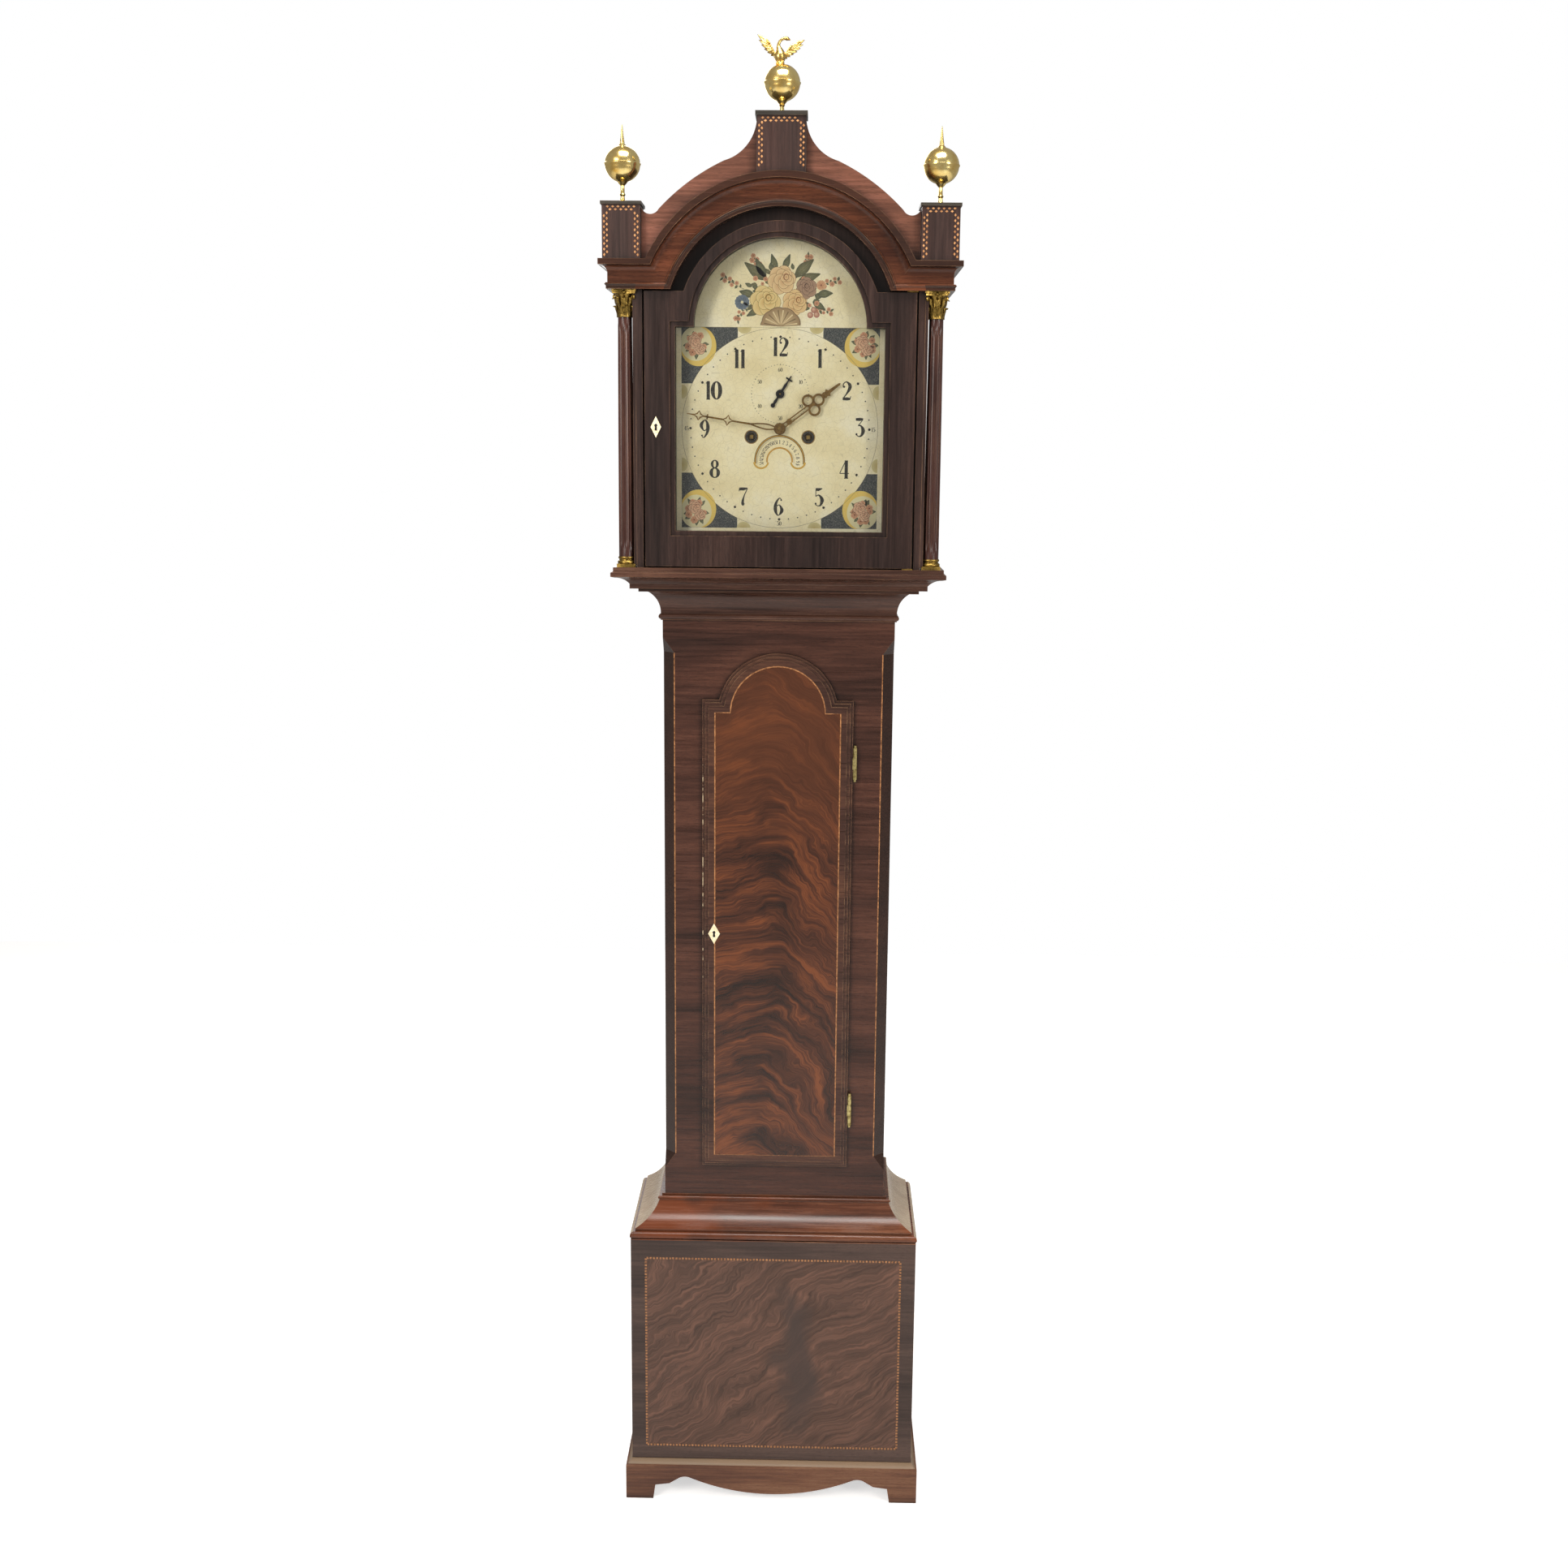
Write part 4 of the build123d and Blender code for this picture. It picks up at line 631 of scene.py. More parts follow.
def capital(name, x):
    """Two rows of leaves round a bell, and a scroll under each corner of the plate."""
    points, faces = [], []
    for low, high, inner, outer, wide, count, first in ((1839, 1852.5, 11.4, 16.4, 8.4, 8, 0.5),
                                                        (1846, 1863.5, 11.2, 17.4, 8.4, 8, 0.0)):
        for turn in range(count):
            more, joins = curling_leaf(math.tau * (turn + first) / count, low, high, inner, outer, wide)
            faces += [tuple(len(points) + j for j in join) for join in joins]
            points += more
    points = [((x + px) * mm, (column_y + py) * mm, pz * mm) for px, py, pz in points]
    leaves = from_points(name + "_leaves", points, [], faces)
    thick = leaves.modifiers.new("thick", "SOLIDIFY")
    thick.thickness = 1.0 * mm
    thick.offset = -1
    bpy.ops.object.modifier_apply(modifier="thick")
    settle(leaves, name + "_leaves", old_gilt, "hood", 50)
    bell_profile = [(0, capital_foot), (11.4, capital_foot), (11.8, 1839.6), (11.2, 1840.6), (10, 1842),
                    (9.6, 1858), (11, 1866), (13.6, plate_foot), (0, plate_foot)]
    core = turn_profile(name + "_bell", bell_profile, x, column_y, 32)
    settle(core, name + "_bell", old_gilt, "hood")
    for k in range(4):
        angle = math.pi / 4 + k * math.pi / 2
        c, s = math.cos(angle), math.sin(angle)
        path = []
        for i in range(18):
            t = i / 17
            if t < 0.4:
                reach, height = 10.5 + 7.5 * (t / 0.4) ** 1.5, 1857 + 12.2 * (t / 0.4)
            else:
                turn = (t - 0.4) / 0.6 * 3.2 * math.pi
                curl = 3.4 * (1 - 0.72 * (t - 0.4) / 0.6)
                reach = 18 + curl * math.sin(turn)
                height = 1865.8 + curl * math.cos(turn)
            path.append((x + reach * c, column_y + reach * s, height, 1.25 - 0.5 * t))
        scroll = swelling(f"{name}_scroll_{k}", path, 2)
        settle(scroll, f"{name}_scroll_{k}", old_gilt, "hood")
    return leaves


def hollow_plate(name, x):
    """The top plate: a square whose sides are hollowed, with a small flower on each side."""
    rim = []
    for k in range(4):
        base = -math.pi / 2 + k * math.pi / 2
        for i in range(9):
            t = -1 + i / 4
            side, reach = 17.0 * t, 13.2 + 3.8 * t * t
            rim.append((reach * math.cos(base) - side * math.sin(base),
                        reach * math.sin(base) + side * math.cos(base)))
    count = len(rim)
    points = [((x + px) * mm, (column_y + py) * mm, pz * mm) for pz in (plate_foot, 1872.6, 1873.2, 1875.9)
              for px, py in ([(a * 0.94, b * 0.94) for a, b in rim] if pz < 1873 else rim)]
    plate = from_points(name, points, [], tube_faces(3, count))
    settle(plate, name, old_gilt, "hood", 30)
    for k in range(4):
        base = -math.pi / 2 + k * math.pi / 2
        clear_selection()
        bpy.ops.mesh.primitive_uv_sphere_add(segments=12, ring_count=8, radius=2.6 * mm,
                                             location=((x + 13.4 * math.cos(base)) * mm,
                                                       (column_y + 13.4 * math.sin(base)) * mm, 1872.4 * mm))
        flower = bpy.context.object
        bpy.ops.object.mode_set(mode="EDIT")
        bpy.ops.mesh.select_all(action="SELECT")
        bpy.ops.mesh.poke()
        bpy.ops.mesh.bevel(offset_pct=12, offset_type="PERCENT", segments=1, affect="EDGES")
        bpy.ops.object.mode_set(mode="OBJECT")
        settle(flower, f"{name}_flower_{k}", old_gilt, "hood")


# %% [markdown]
# ## Fluted columns
#
# The shafts are turned with a slight swell and then fluted with a scratch tool, sixteen hollows round
# each. The mesh follows that order: rings of points set the swell. Between two short plain ends every
# fourth point stays out as a ridge, and the three between are drawn in as the hollow.

# %% Shafts
def fluted_shaft(name, x, low=1502.9, high=1839.0, flutes=16):
    around, rows = flutes * 4, 40
    points = []
    for row in range(rows + 1):
        t = row / rows
        height = low + (high - low) * t
        swell = 11.3 - 1.3 * t ** 1.6
        cut = 0.0 if t < 0.03 or t > 0.97 else 1.0
        for k in range(around):
            angle = math.tau * k / around
            depth = (0.0, 0.75, 1.15, 0.75)[k % 4] * cut
            reach = swell - depth
            points.append(((x + reach * math.cos(angle)) * mm, (column_y + reach * math.sin(angle)) * mm,
                           height * mm))
    shaft = from_points(name, points, [], tube_faces(rows, around))
    return settle(shaft, name, column_wood, "hood", 25)


for side, x in (("left", -column_x), ("right", column_x)):
    shaft = fluted_shaft("column_shaft_" + side, x)
    if side == "left":
        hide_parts("columns")

# %% Capitals and bases in place
foot_wide, foot_high, foot_middle = 27, 5, 1490.5
ring_profile = [(0, 1492.9), (12.6, 1492.9), (13.4, 1494), (13.5, 1495.4), (12.8, 1496.8), (11.4, 1497.6),
                (11, 1498.8), (11.6, 1499.6), (12.4, 1500.6), (12.5, 1501.6), (12, 1502.9), (0, 1502.9)]
for side, x in (("left", -column_x), ("right", column_x)):
    leaves = capital("capital_" + side, x)
    hollow_plate("capital_plate_" + side, x)
    clear_selection()
    bpy.ops.mesh.primitive_cube_add(size=foot_wide * mm, location=(x * mm, column_y * mm, foot_middle * mm))
    foot = bpy.context.object
    foot.scale.z = foot_high / foot_wide
    edge = foot.modifiers.new("edge", "BEVEL")
    edge.width = 0.0006
    edge.segments = 2
    bpy.ops.object.modifier_apply(modifier="edge")
    settle(foot, f"column_foot_{side}", old_gilt, "hood", 30)
    rings = turn_profile(f"column_rings_{side}", ring_profile, x, column_y, 40)
    settle(rings, f"column_rings_{side}", old_gilt, "hood")
    if side == "left":
        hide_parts("capitals")
        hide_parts("column_bases")
print("capitals and bases done")

# %% [markdown]
# ## Painting a dial
#
# A white dial is an iron plate with a cream ground, stoved hard, and then painted by hand with thin
# layers of oil colour. The layers are built the same way here: each stroke is a slab one hundredth
# of a millimetre thick that lies just over the one below. A ribbon follows a path with a width
# at each point, like a brush or a broad nib, and a fan fills a shape from a heart colour to a rim
# colour, like a loaded brush. The colours are kept with the points of the mesh.

# %% Brush strokes
first_lift, layer_step, slab_thickness = 0.02, 0.012, 0.01


def new_paint(front_mm):
    """Paint for a flat face that looks forward, with no strokes yet."""
    return {"front": front_mm, "points": [], "tones": [], "faces": []}


def add_slab(paint, flat, faces, rims, tones, layer):
    """Turn flat (x, z) faces into a closed thin slab at a layer's depth."""
    first, count = len(paint["points"]), len(flat)
    front = paint["front"] - first_lift - layer_step * layer
    paint["points"] += [(x * mm, front * mm, z * mm) for x, z in flat]
    paint["points"] += [(x * mm, (front + slab_thickness) * mm, z * mm) for x, z in flat]
    paint["tones"] += tones * 2
    for face in faces:
        paint["faces"].append(tuple(first + i for i in face))
        paint["faces"].append(tuple(first + count + i for i in reversed(face)))
    for rim in rims:
        for i, j in zip(rim, rim[1:] + rim[:1]):
            paint["faces"].append((first + i, first + count + i, first + count + j, first + j))


def anticlockwise(outline):
    area = sum(a[0] * b[1] - b[0] * a[1] for a, b in zip(outline, outline[1:] + outline[:1]))
    return outline if area > 0 else outline[::-1]


def fill(paint, outline, tone, layer):
    """An outline filled with one colour."""
    outline = anticlockwise(outline)
    ring = list(range(len(outline)))
    add_slab(paint, outline, [tuple(ring)], [ring], [colour(tone)] * len(outline), layer)


def fan(paint, heart, outline, heart_tone, rim_tone, layer):
    """An outline filled from a heart colour to a rim colour."""
    outline = anticlockwise(outline)
    count = len(outline)
    faces = [(0, 1 + i, 1 + (i + 1) % count) for i in range(count)]
    tones = [colour(heart_tone)] + [colour(rim_tone)] * count
    add_slab(paint, [heart] + outline, faces, [list(range(1, count + 1))], tones, layer)


def ribbon(paint, path, tone, layer, closed=False):
    """A stroke along (x, z, width) points."""
    count = len(path)
    right, left = [], []
    for i, (x, z, wide) in enumerate(path):
        before = path[i - 1] if closed or i else path[0]
        after = path[(i + 1) % count] if closed or i < count - 1 else path[-1]
        dx, dz = after[0] - before[0], after[1] - before[1]
        size = math.hypot(dx, dz) or 1.0
        nx, nz = -dz / size * wide / 2, dx / size * wide / 2
        left.append((x + nx, z + nz))
        right.append((x - nx, z - nz))
    spans = range(count if closed else count - 1)
    faces = [(i, (i + 1) % count, count + (i + 1) % count, count + i) for i in spans]
    ahead, back = list(range(count)), list(range(2 * count - 1, count - 1, -1))
    rims = [ahead, back] if closed else [ahead + back]
    add_slab(paint, right + left, faces, rims, [colour(tone)] * (2 * count), layer)


def flowing(path, steps=6, closed=False):
    """More points along a path, on a smooth curve through the ones given."""
    count, made = len(path), []
    spans = count if closed else count - 1
    for i in range(spans):
        if closed:
            four = [path[(i + k) % count] for k in (-1, 0, 1, 2)]
        else:
            four = [path[min(max(i + k, 0), count - 1)] for k in (-1, 0, 1, 2)]
        for step in range(steps):
            t = step / steps
            made.append(tuple(0.5 * (2 * b + (c - a) * t + (2 * a - 5 * b + 4 * c - d) * t * t
                                     + (3 * b - a - 3 * c + d) * t ** 3) for a, b, c, d in zip(*four)))
    if not closed:
        made.append(path[-1])
    return made


def swung(x, z, reach, angle, high=1.0):
    """The point at a reach and an angle from (x, z), on an oval if high isn't 1."""
    return x + reach * math.cos(angle), z + reach * high * math.sin(angle)


def oval(x, z, rx, rz, count=40, turned=0.0):
    """Points round an oval, anticlockwise from its right end."""
    c, s = math.cos(turned), math.sin(turned)
    spots = [(rx * math.cos(math.tau * i / count), rz * math.sin(math.tau * i / count)) for i in range(count)]
    return [(x + a * c - b * s, z + a * s + b * c) for a, b in spots]


def hang_paint(paint, name, material, body):
    """Make one mesh of the strokes, with their colours at its points."""
    piece = from_points(name, paint["points"], [], paint["faces"])
    tones = piece.data.color_attributes.new("paint", "FLOAT_COLOR", "POINT")
    for spot, tone in zip(tones.data, paint["tones"]):
        spot.color = tone
    piece.data.materials.append(material)
    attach(piece, body)
    print(name, "triangles", sum(len(face) - 2 for face in paint["faces"]))


def oil_colour():
    """Paint whose tone comes from the mesh, worn through here and there to the cream ground."""
    made, tree, place = new_material("dial_oil_colour")
    tone = add_node(tree, "Attribute", {"attribute_name": "paint"}, out="Color")
    grain = add_node(tree, "TexNoise", None, {"Vector": place, "Scale": 900.0, "Detail": 3})
    wear = add_node(tree, "ValToRGB", None, {0: grain}, stops=[(0.6, 0.0), (0.75, 0.3)])
    tone = add_node(tree, "Mix", tinted, {0: wear, 6: tone, 7: colour("#f8eecc")}, out=2)
    close_material(tree, {"Base Color": tone, "Roughness": 0.5, "IOR": 1.45})
    return made


def cream_ground():
    """Stoved cream paint with faint stains and a fine net of cracks a few millimetres apart."""
    made, tree, place = new_material("dial_cream_ground")
    stains = add_node(tree, "TexNoise", None, {"Vector": place, "Scale": 14.0, "Detail": 5, "Roughness": 0.6})
    tone = add_node(tree, "ValToRGB", None, {0: stains},
                    stops=[(0.34, "#f0e2b8"), (0.5, "#fbf0cc"), (0.66, "#fff8e0")])
    nets = add_node(tree, "TexVoronoi", {"feature": "DISTANCE_TO_EDGE"}, {"Vector": place, "Scale": 130.0},
                    out="Distance")
    cracks = add_node(tree, "ValToRGB", None, {0: nets}, stops=[(0.0, 0.3), (0.035, 0.0)])
    tone = add_node(tree, "Mix", tinted, {0: cracks, 6: tone, 7: colour("#a89c74")}, out=2)
    close_material(tree, {"Base Color": tone, "Roughness": 0.4, "IOR": 1.45})
    return made


oil = oil_colour()
ground = cream_ground()
finish("dial_plate", ground)
finish("calendar_disc", ground)

# %% [markdown]
# ## Numerals
#
# The hours are upright Arabic figures, 25.7 mm high, written with the strong change from hairline to
# thick stem that a broad pen gives. Each figure is a few strokes on a box one unit high: paths of
# (x, z, width) points that are closed or not, then round dots of (x, z, radius), then its width.

# %% The ten figures
round_stroke = [(0.29 + 0.21 * math.cos(math.tau * i / 24), 0.5 + 0.47 * math.sin(math.tau * i / 24),
                 0.035 + 0.13 * abs(math.cos(math.tau * i / 24)) ** 1.5) for i in range(24)]
figures = {
    "0": ([(round_stroke, True)], [], 0.58),
    "1": ([([(0.17, 1.0, 0.13), (0.17, 0.5, 0.13), (0.17, 0.0, 0.13)], False),
           ([(0.04, 0.88, 0.02), (0.10, 0.93, 0.03), (0.2, 0.99, 0.05)], False),
           ([(0.06, 0.012, 0.024), (0.28, 0.012, 0.024)], False)], [], 0.34),
    "2": ([([(0.08, 0.70, 0.03), (0.10, 0.88, 0.035), (0.27, 0.975, 0.04), (0.45, 0.80, 0.13),
             (0.42, 0.58, 0.12), (0.25, 0.30, 0.05), (0.07, 0.06, 0.03)], False),
           ([(0.06, 0.055, 0.10), (0.30, 0.055, 0.12), (0.48, 0.05, 0.08)], False),
           ([(0.46, 0.04, 0.03), (0.51, 0.20, 0.02)], False)], [(0.13, 0.71, 0.06)], 0.55),
    "3": ([([(0.06, 0.94, 0.10), (0.30, 0.94, 0.12), (0.47, 0.96, 0.05)], False),
           ([(0.46, 0.95, 0.03), (0.33, 0.76, 0.025), (0.20, 0.60, 0.03)], False),
           ([(0.20, 0.60, 0.03), (0.36, 0.58, 0.06), (0.48, 0.32, 0.15), (0.38, 0.06, 0.08),
             (0.22, 0.015, 0.03), (0.08, 0.12, 0.04)], False)], [(0.11, 0.13, 0.055)], 0.56),
    "4": ([([(0.40, 1.0, 0.13), (0.40, 0.0, 0.13)], False),
           ([(0.36, 0.96, 0.025), (0.04, 0.30, 0.025)], False),
           ([(0.03, 0.28, 0.025), (0.56, 0.28, 0.03)], False),
           ([(0.28, 0.012, 0.024), (0.52, 0.012, 0.024)], False)], [], 0.58),
    "5": ([([(0.11, 0.97, 0.025), (0.10, 0.54, 0.025)], False),
           ([(0.10, 0.93, 0.11), (0.26, 0.92, 0.12), (0.46, 0.98, 0.03)], False),
           ([(0.10, 0.54, 0.03), (0.28, 0.61, 0.05), (0.46, 0.36, 0.15), (0.38, 0.07, 0.08),
             (0.22, 0.015, 0.03), (0.07, 0.11, 0.04)], False)], [(0.10, 0.14, 0.055)], 0.55),
    "6": ([([(0.46, 0.84, 0.03), (0.33, 0.975, 0.035), (0.14, 0.70, 0.10), (0.10, 0.36, 0.14),
             (0.18, 0.08, 0.07), (0.30, 0.02, 0.035), (0.47, 0.28, 0.14), (0.36, 0.55, 0.05),
             (0.25, 0.58, 0.03), (0.13, 0.44, 0.03)], False)], [(0.43, 0.86, 0.05)], 0.56),
    "7": ([([(0.05, 0.92, 0.11), (0.28, 0.92, 0.12), (0.50, 0.96, 0.04)], False),
           ([(0.50, 0.95, 0.03), (0.32, 0.55, 0.04), (0.24, 0.24, 0.10), (0.25, 0.06, 0.13)], False),
           ([(0.05, 0.95, 0.03), (0.03, 0.78, 0.02)], False)], [(0.25, 0.06, 0.075)], 0.52),
    "8": ([([(0.29 + 0.15 * math.cos(a), 0.765 + 0.205 * math.sin(a), 0.035 + 0.075 * abs(math.cos(a)) ** 2)
             for a in [math.tau * i / 20 for i in range(20)]], True),
           ([(0.29 + 0.20 * math.cos(a), 0.285 + 0.265 * math.sin(a), 0.035 + 0.11 * abs(math.cos(a)) ** 2)
             for a in [math.tau * i / 20 for i in range(20)]], True)], [], 0.58),
}
figures["9"] = ([([(0.58 - x, 1 - z, w) for x, z, w in figures["6"][0][0][0]], False)],
                [(0.58 - x, 1 - z, r) for x, z, r in figures["6"][1]], 0.56)


def write_number(paint, text, x, z, high, tone, layer, slope=0.0):
    """Figures side by side, centred on a point and turned by a slope."""
    wide = sum(figures[each][2] for each in text) * high
    start = -wide / 2
    c, s = math.cos(slope), math.sin(slope)

    def placed(px, pz):
        a, b = start + px * high, (pz - 0.5) * high
        return x + a * c - b * s, z + a * s + b * c

    for each in text:
        strokes, balls, width = figures[each]
        for path, closed in strokes:
            smooth = flowing(path, 5, closed) if len(path) > 3 and not closed else path
            stroke = [(*placed(px, pz), (w * 1.3 + 0.012) * high) for px, pz, w in smooth]
            ribbon(paint, stroke, tone, layer, closed)
        for px, pz, r in balls:
            bx, bz = placed(px, pz)
            fill(paint, oval(bx, bz, r * high, r * high, 14), tone, layer + 1)
        start += width * high


# %% Hours, minutes and seconds
ink = "#1e1a18"
hour_high = 25.7
dial_z, seconds_z, slot_z = 1686.0, 1735.0, 1641.0
winding_x, winding_z = 41.0, 1674.5
dial_front, disc_front = -76.0, -73.6
dial_half = 141.3
writing = new_paint(dial_front)
hours = {"12": (0, 115), "1": (56.7, 99), "2": (95.4, 54.5), "3": (114.8, 3), "4": (93.6, -56.6),
         "5": (57.3, -96.4), "6": (-1, -110.4), "7": (-52.4, -96.4), "8": (-93.7, -57.3), "9": (-108.8, -0.9),
         "10": (-95.7, 53.4), "11": (-57.9, 97.8)}
for text, (x, z) in hours.items():
    write_number(writing, text, x, dial_z + z, hour_high, ink, 3)
for minute in range(60):
    angle = math.radians(90 - 6 * minute)
    size = 1.9 if minute % 5 == 0 else 1.0
    fill(writing, oval(*swung(0, dial_z, 128.7, angle), size, size, 10), "#2a241c", 3)
    if minute % 5 == 0 and minute % 15:
        for reach in (125.4, 132.2):
            fill(writing, oval(*swung(0, dial_z, reach, angle), 0.45, 0.45, 8), "#5a503e", 3)
for text, degrees in (("15", 0), ("30", -90), ("45", 180)):
    write_number(writing, text, *swung(0, dial_z, 134.6, math.radians(degrees)), 6.0, "#6a604a", 3)
for second in range(60):
    size = 0.6 if second % 5 else 0.9
    dot = oval(*swung(0, seconds_z, 41, math.radians(90 - 6 * second)), size, size, 8)
    fill(writing, dot, "#7c7258", 3)
for k, text in enumerate(("60", "10", "20", "30", "40", "50")):
    write_number(writing, text, *swung(0, seconds_z, 34, math.radians(90 - 60 * k)), 5.6, "#5c543e", 3)
ribbon(writing, [(x, z, 0.45) for x, z in oval(0, dial_z, 141, 141, 160)], "#8a7c58", 3, True)
for x in (-winding_x, winding_x):
    for reach, wide, tone, layer in ((7.5, 2.8, "#1a1410", 3), (9.4, 1.2, "#a07c38", 4)):
        ring = [(px, pz, wide) for px, pz in oval(x, winding_z, reach, reach)]
        ribbon(writing, ring, tone, layer, True)
slot_rim = [swung(0, slot_z, 35.2, math.radians(a)) for a in range(-8, 189, 5)]
slot_in = [swung(0, slot_z, 18.2, math.radians(a)) for a in range(188, -9, -5)]
for path, wide, tone, layer in ((slot_rim, 3.0, "#3a2c16", 3), (slot_rim, 1.2, "#d0a038", 4),
                                (slot_in, 2.4, "#c8983a", 3)):
    ribbon(writing, [(x, z, wide) for x, z in path], tone, layer)
for side in (-1, 1):
    end = [(*swung(side * 26.7, slot_z - 1.5, 10.2, math.radians(a), 9.4 / 10.2), 2.6)
           for a in range(185, 356, 10)]
    ribbon(writing, end, "#d4aa46", 5)
hang_paint(writing, "dial_writing", oil, "case")

days = new_paint(disc_front)
for day in range(31):
    angle = math.radians(90 - 360 / 31 * day)
    write_number(days, str(day + 1), *swung(0, slot_z, 26.6, angle), 5.4, "#4a4336", 1, angle - math.pi / 2)
hang_paint(days, "calendar_numbers", oil, "calendar")

# %% [markdown]
# ## Corners of the dial
#
# Slate-coloured corners, stippled to look like stone, carry four ovals with small bunches of
# flowers. The rim of each oval is a crescent, thick towards the middle of the dial: a yellow oval
# with a slightly smaller cream one laid off centre on it. Small buff shells end each slate strip.

# %% Slate, shells and ovals
def slate_colour():
    """Blue-grey oil stippled with a stiff brush, so it breaks into dots about a millimetre wide."""
    made, tree, place = new_material("dial_slate_stipple")
    dots = add_node(tree, "TexNoise", None, {"Vector": place, "Scale": 1100.0, "Detail": 2})
    tone = add_node(tree, "ValToRGB", None, {0: dots},
                    stops=[(0.40, "#2c3036"), (0.54, "#454a50"), (0.68, "#7c7d78")])
    close_material(tree, {"Base Color": tone, "Roughness": 0.5, "IOR": 1.45})
    return made


slate = new_paint(dial_front)
for sx in (-1, 1):
    for sz in (-1, 1):
        edge = [(61.0, 141.5), (141.5, 141.5), (141.5, 63.0)]
        arc = [swung(0, 0, 141, math.radians(26.54 + (64.38 - 26.54) * i / 16)) for i in range(17)]
        fill(slate, [(sx * x, dial_z + sz * z) for x, z in edge + arc], "#4e545c", 0)
hang_paint(slate, "dial_slate", slate_colour(), "case")


def petal(cx, cz, angle, reach, half, start=0.0):
    """A rounded petal that leaves the heart of a flower at an angle."""
    c, s = math.cos(angle), math.sin(angle)
    waist, belly = start + (reach - start) * 0.35, start + (reach - start) * 0.72
    shape = [(start, 0), (waist, half * 0.75), (belly, half), (reach * 0.97, half * 0.55), (reach * 0.93, 0),
             (reach * 0.97, -half * 0.55), (belly, -half), (waist, -half * 0.75)]
    return [(cx + a * c - b * s, cz + a * s + b * c) for a, b in flowing(shape, 3, True)]


def leaf(paint, x, z, angle, long, half, tones, layer):
    c, s = math.cos(angle), math.sin(angle)
    shape = [(0, 0), (long * 0.22, half * 0.8), (long * 0.5, half), (long * 0.8, half * 0.5), (long, 0),
             (long * 0.8, -half * 0.42), (long * 0.5, -half * 0.85), (long * 0.22, -half * 0.7)]
    outline = [(x + a * c - b * s, z + a * s + b * c) for a, b in flowing(shape, 3, True)]
    fan(paint, (x + long * 0.45 * c, z + long * 0.45 * s), outline, tones[0], tones[1], layer)
    vein = [(x + a * c, z + a * s, 0.35) for a in (0, long * 0.5, long * 0.9)]
    ribbon(paint, vein, tones[2], layer + 1)


def blossom(paint, x, z, size, tones, layer, petals=5, turned=0.0):
    for i in range(petals):
        angle = turned + math.tau * i / petals
        shape = petal(x, z, angle, size, size * 0.46, size * 0.05)
        fan(paint, swung(x, z, size * 0.3, angle), shape, tones[0], tones[1], layer + i % 2)
    fill(paint, oval(x, z, size * 0.2, size * 0.2, 10), tones[2], layer + 2)


def rose(paint, x, z, size, tones, layer, turned=0.0):
    """A full rose: rows of rounded, edged petals round a curled heart that sits a little off centre."""
    for row, (share, count) in enumerate(((1.0, 6), (0.70, 5), (0.42, 3))):
        mid_x, mid_z = x + size * 0.16 * row * math.cos(turned), z + size * 0.10 * row
        for i in range(count):
            angle = turned + math.tau * i / count + row * 0.7
            reach, half = size * share * 0.66, size * share * 0.52
            cx, cz = swung(mid_x, mid_z, size * share * 0.30, angle)
            px, pz = swung(cx, cz, reach * 0.2, angle)
            fill(paint, oval(px, pz, reach * 0.86 + 0.5, half + 0.5, 18, angle), tones[2], layer)
            shape = oval(px, pz, reach * 0.86, half, 18, angle)
            fan(paint, swung(cx, cz, -reach * 0.35, angle), shape, tones[1], tones[0], layer + 1)
            layer += 2
    heart_x, heart_z = x + size * 0.32 * math.cos(turned), z + size * 0.20
    fill(paint, oval(heart_x, heart_z, size * 0.2, size * 0.24, 16), tones[2], layer)
    curl = oval(heart_x + 0.4, heart_z - 0.3, size * 0.14, size * 0.17, 16)
    fan(paint, (heart_x, heart_z), curl, tones[1], tones[0], layer + 1)


def spray(paint, x, z, angle, long, tones, greens, layer, seed):
    """A thin bent stem with small blossoms and leaves along it."""
    pick = random.Random(seed)
    path, px, pz, way = [], x, z, angle
    for i in range(7):
        path.append((px, pz, 0.5))
        px, pz = px + long / 6 * math.cos(way), pz + long / 6 * math.sin(way)
        way += pick.uniform(-0.25, 0.25)
    ribbon(paint, flowing(path, 3), greens[2], layer)
    for i, (sx, sz) in enumerate(point[:2] for point in path[1:]):
        side = 1 if i % 2 else -1
        leaf(paint, sx, sz, angle + side * pick.uniform(0.7, 1.3), pick.uniform(4, 7), pick.uniform(1.3, 2.1),
             greens, layer + 1)
        if i > 0:
            blossom(paint, *swung(sx, sz, 3.4, angle - side), pick.uniform(2.4, 3.8), tones, layer + 3, 5,
                    pick.uniform(0, 1))


greens = ("#7c7c58", "#4e5440", "#3c4232")
olive = ("#85815c", "#55563c", "#3e402c")
pinks = ("#b87a58", "#dca684", "#7e4a36")
flowers = new_paint(dial_front)


def kept(outline):
    """An outline cut back to the edges of the dial."""
    low, high = dial_z - dial_half, dial_z + dial_half
    return [(max(-dial_half, min(dial_half, x)), max(low, min(high, z))) for x, z in outline]


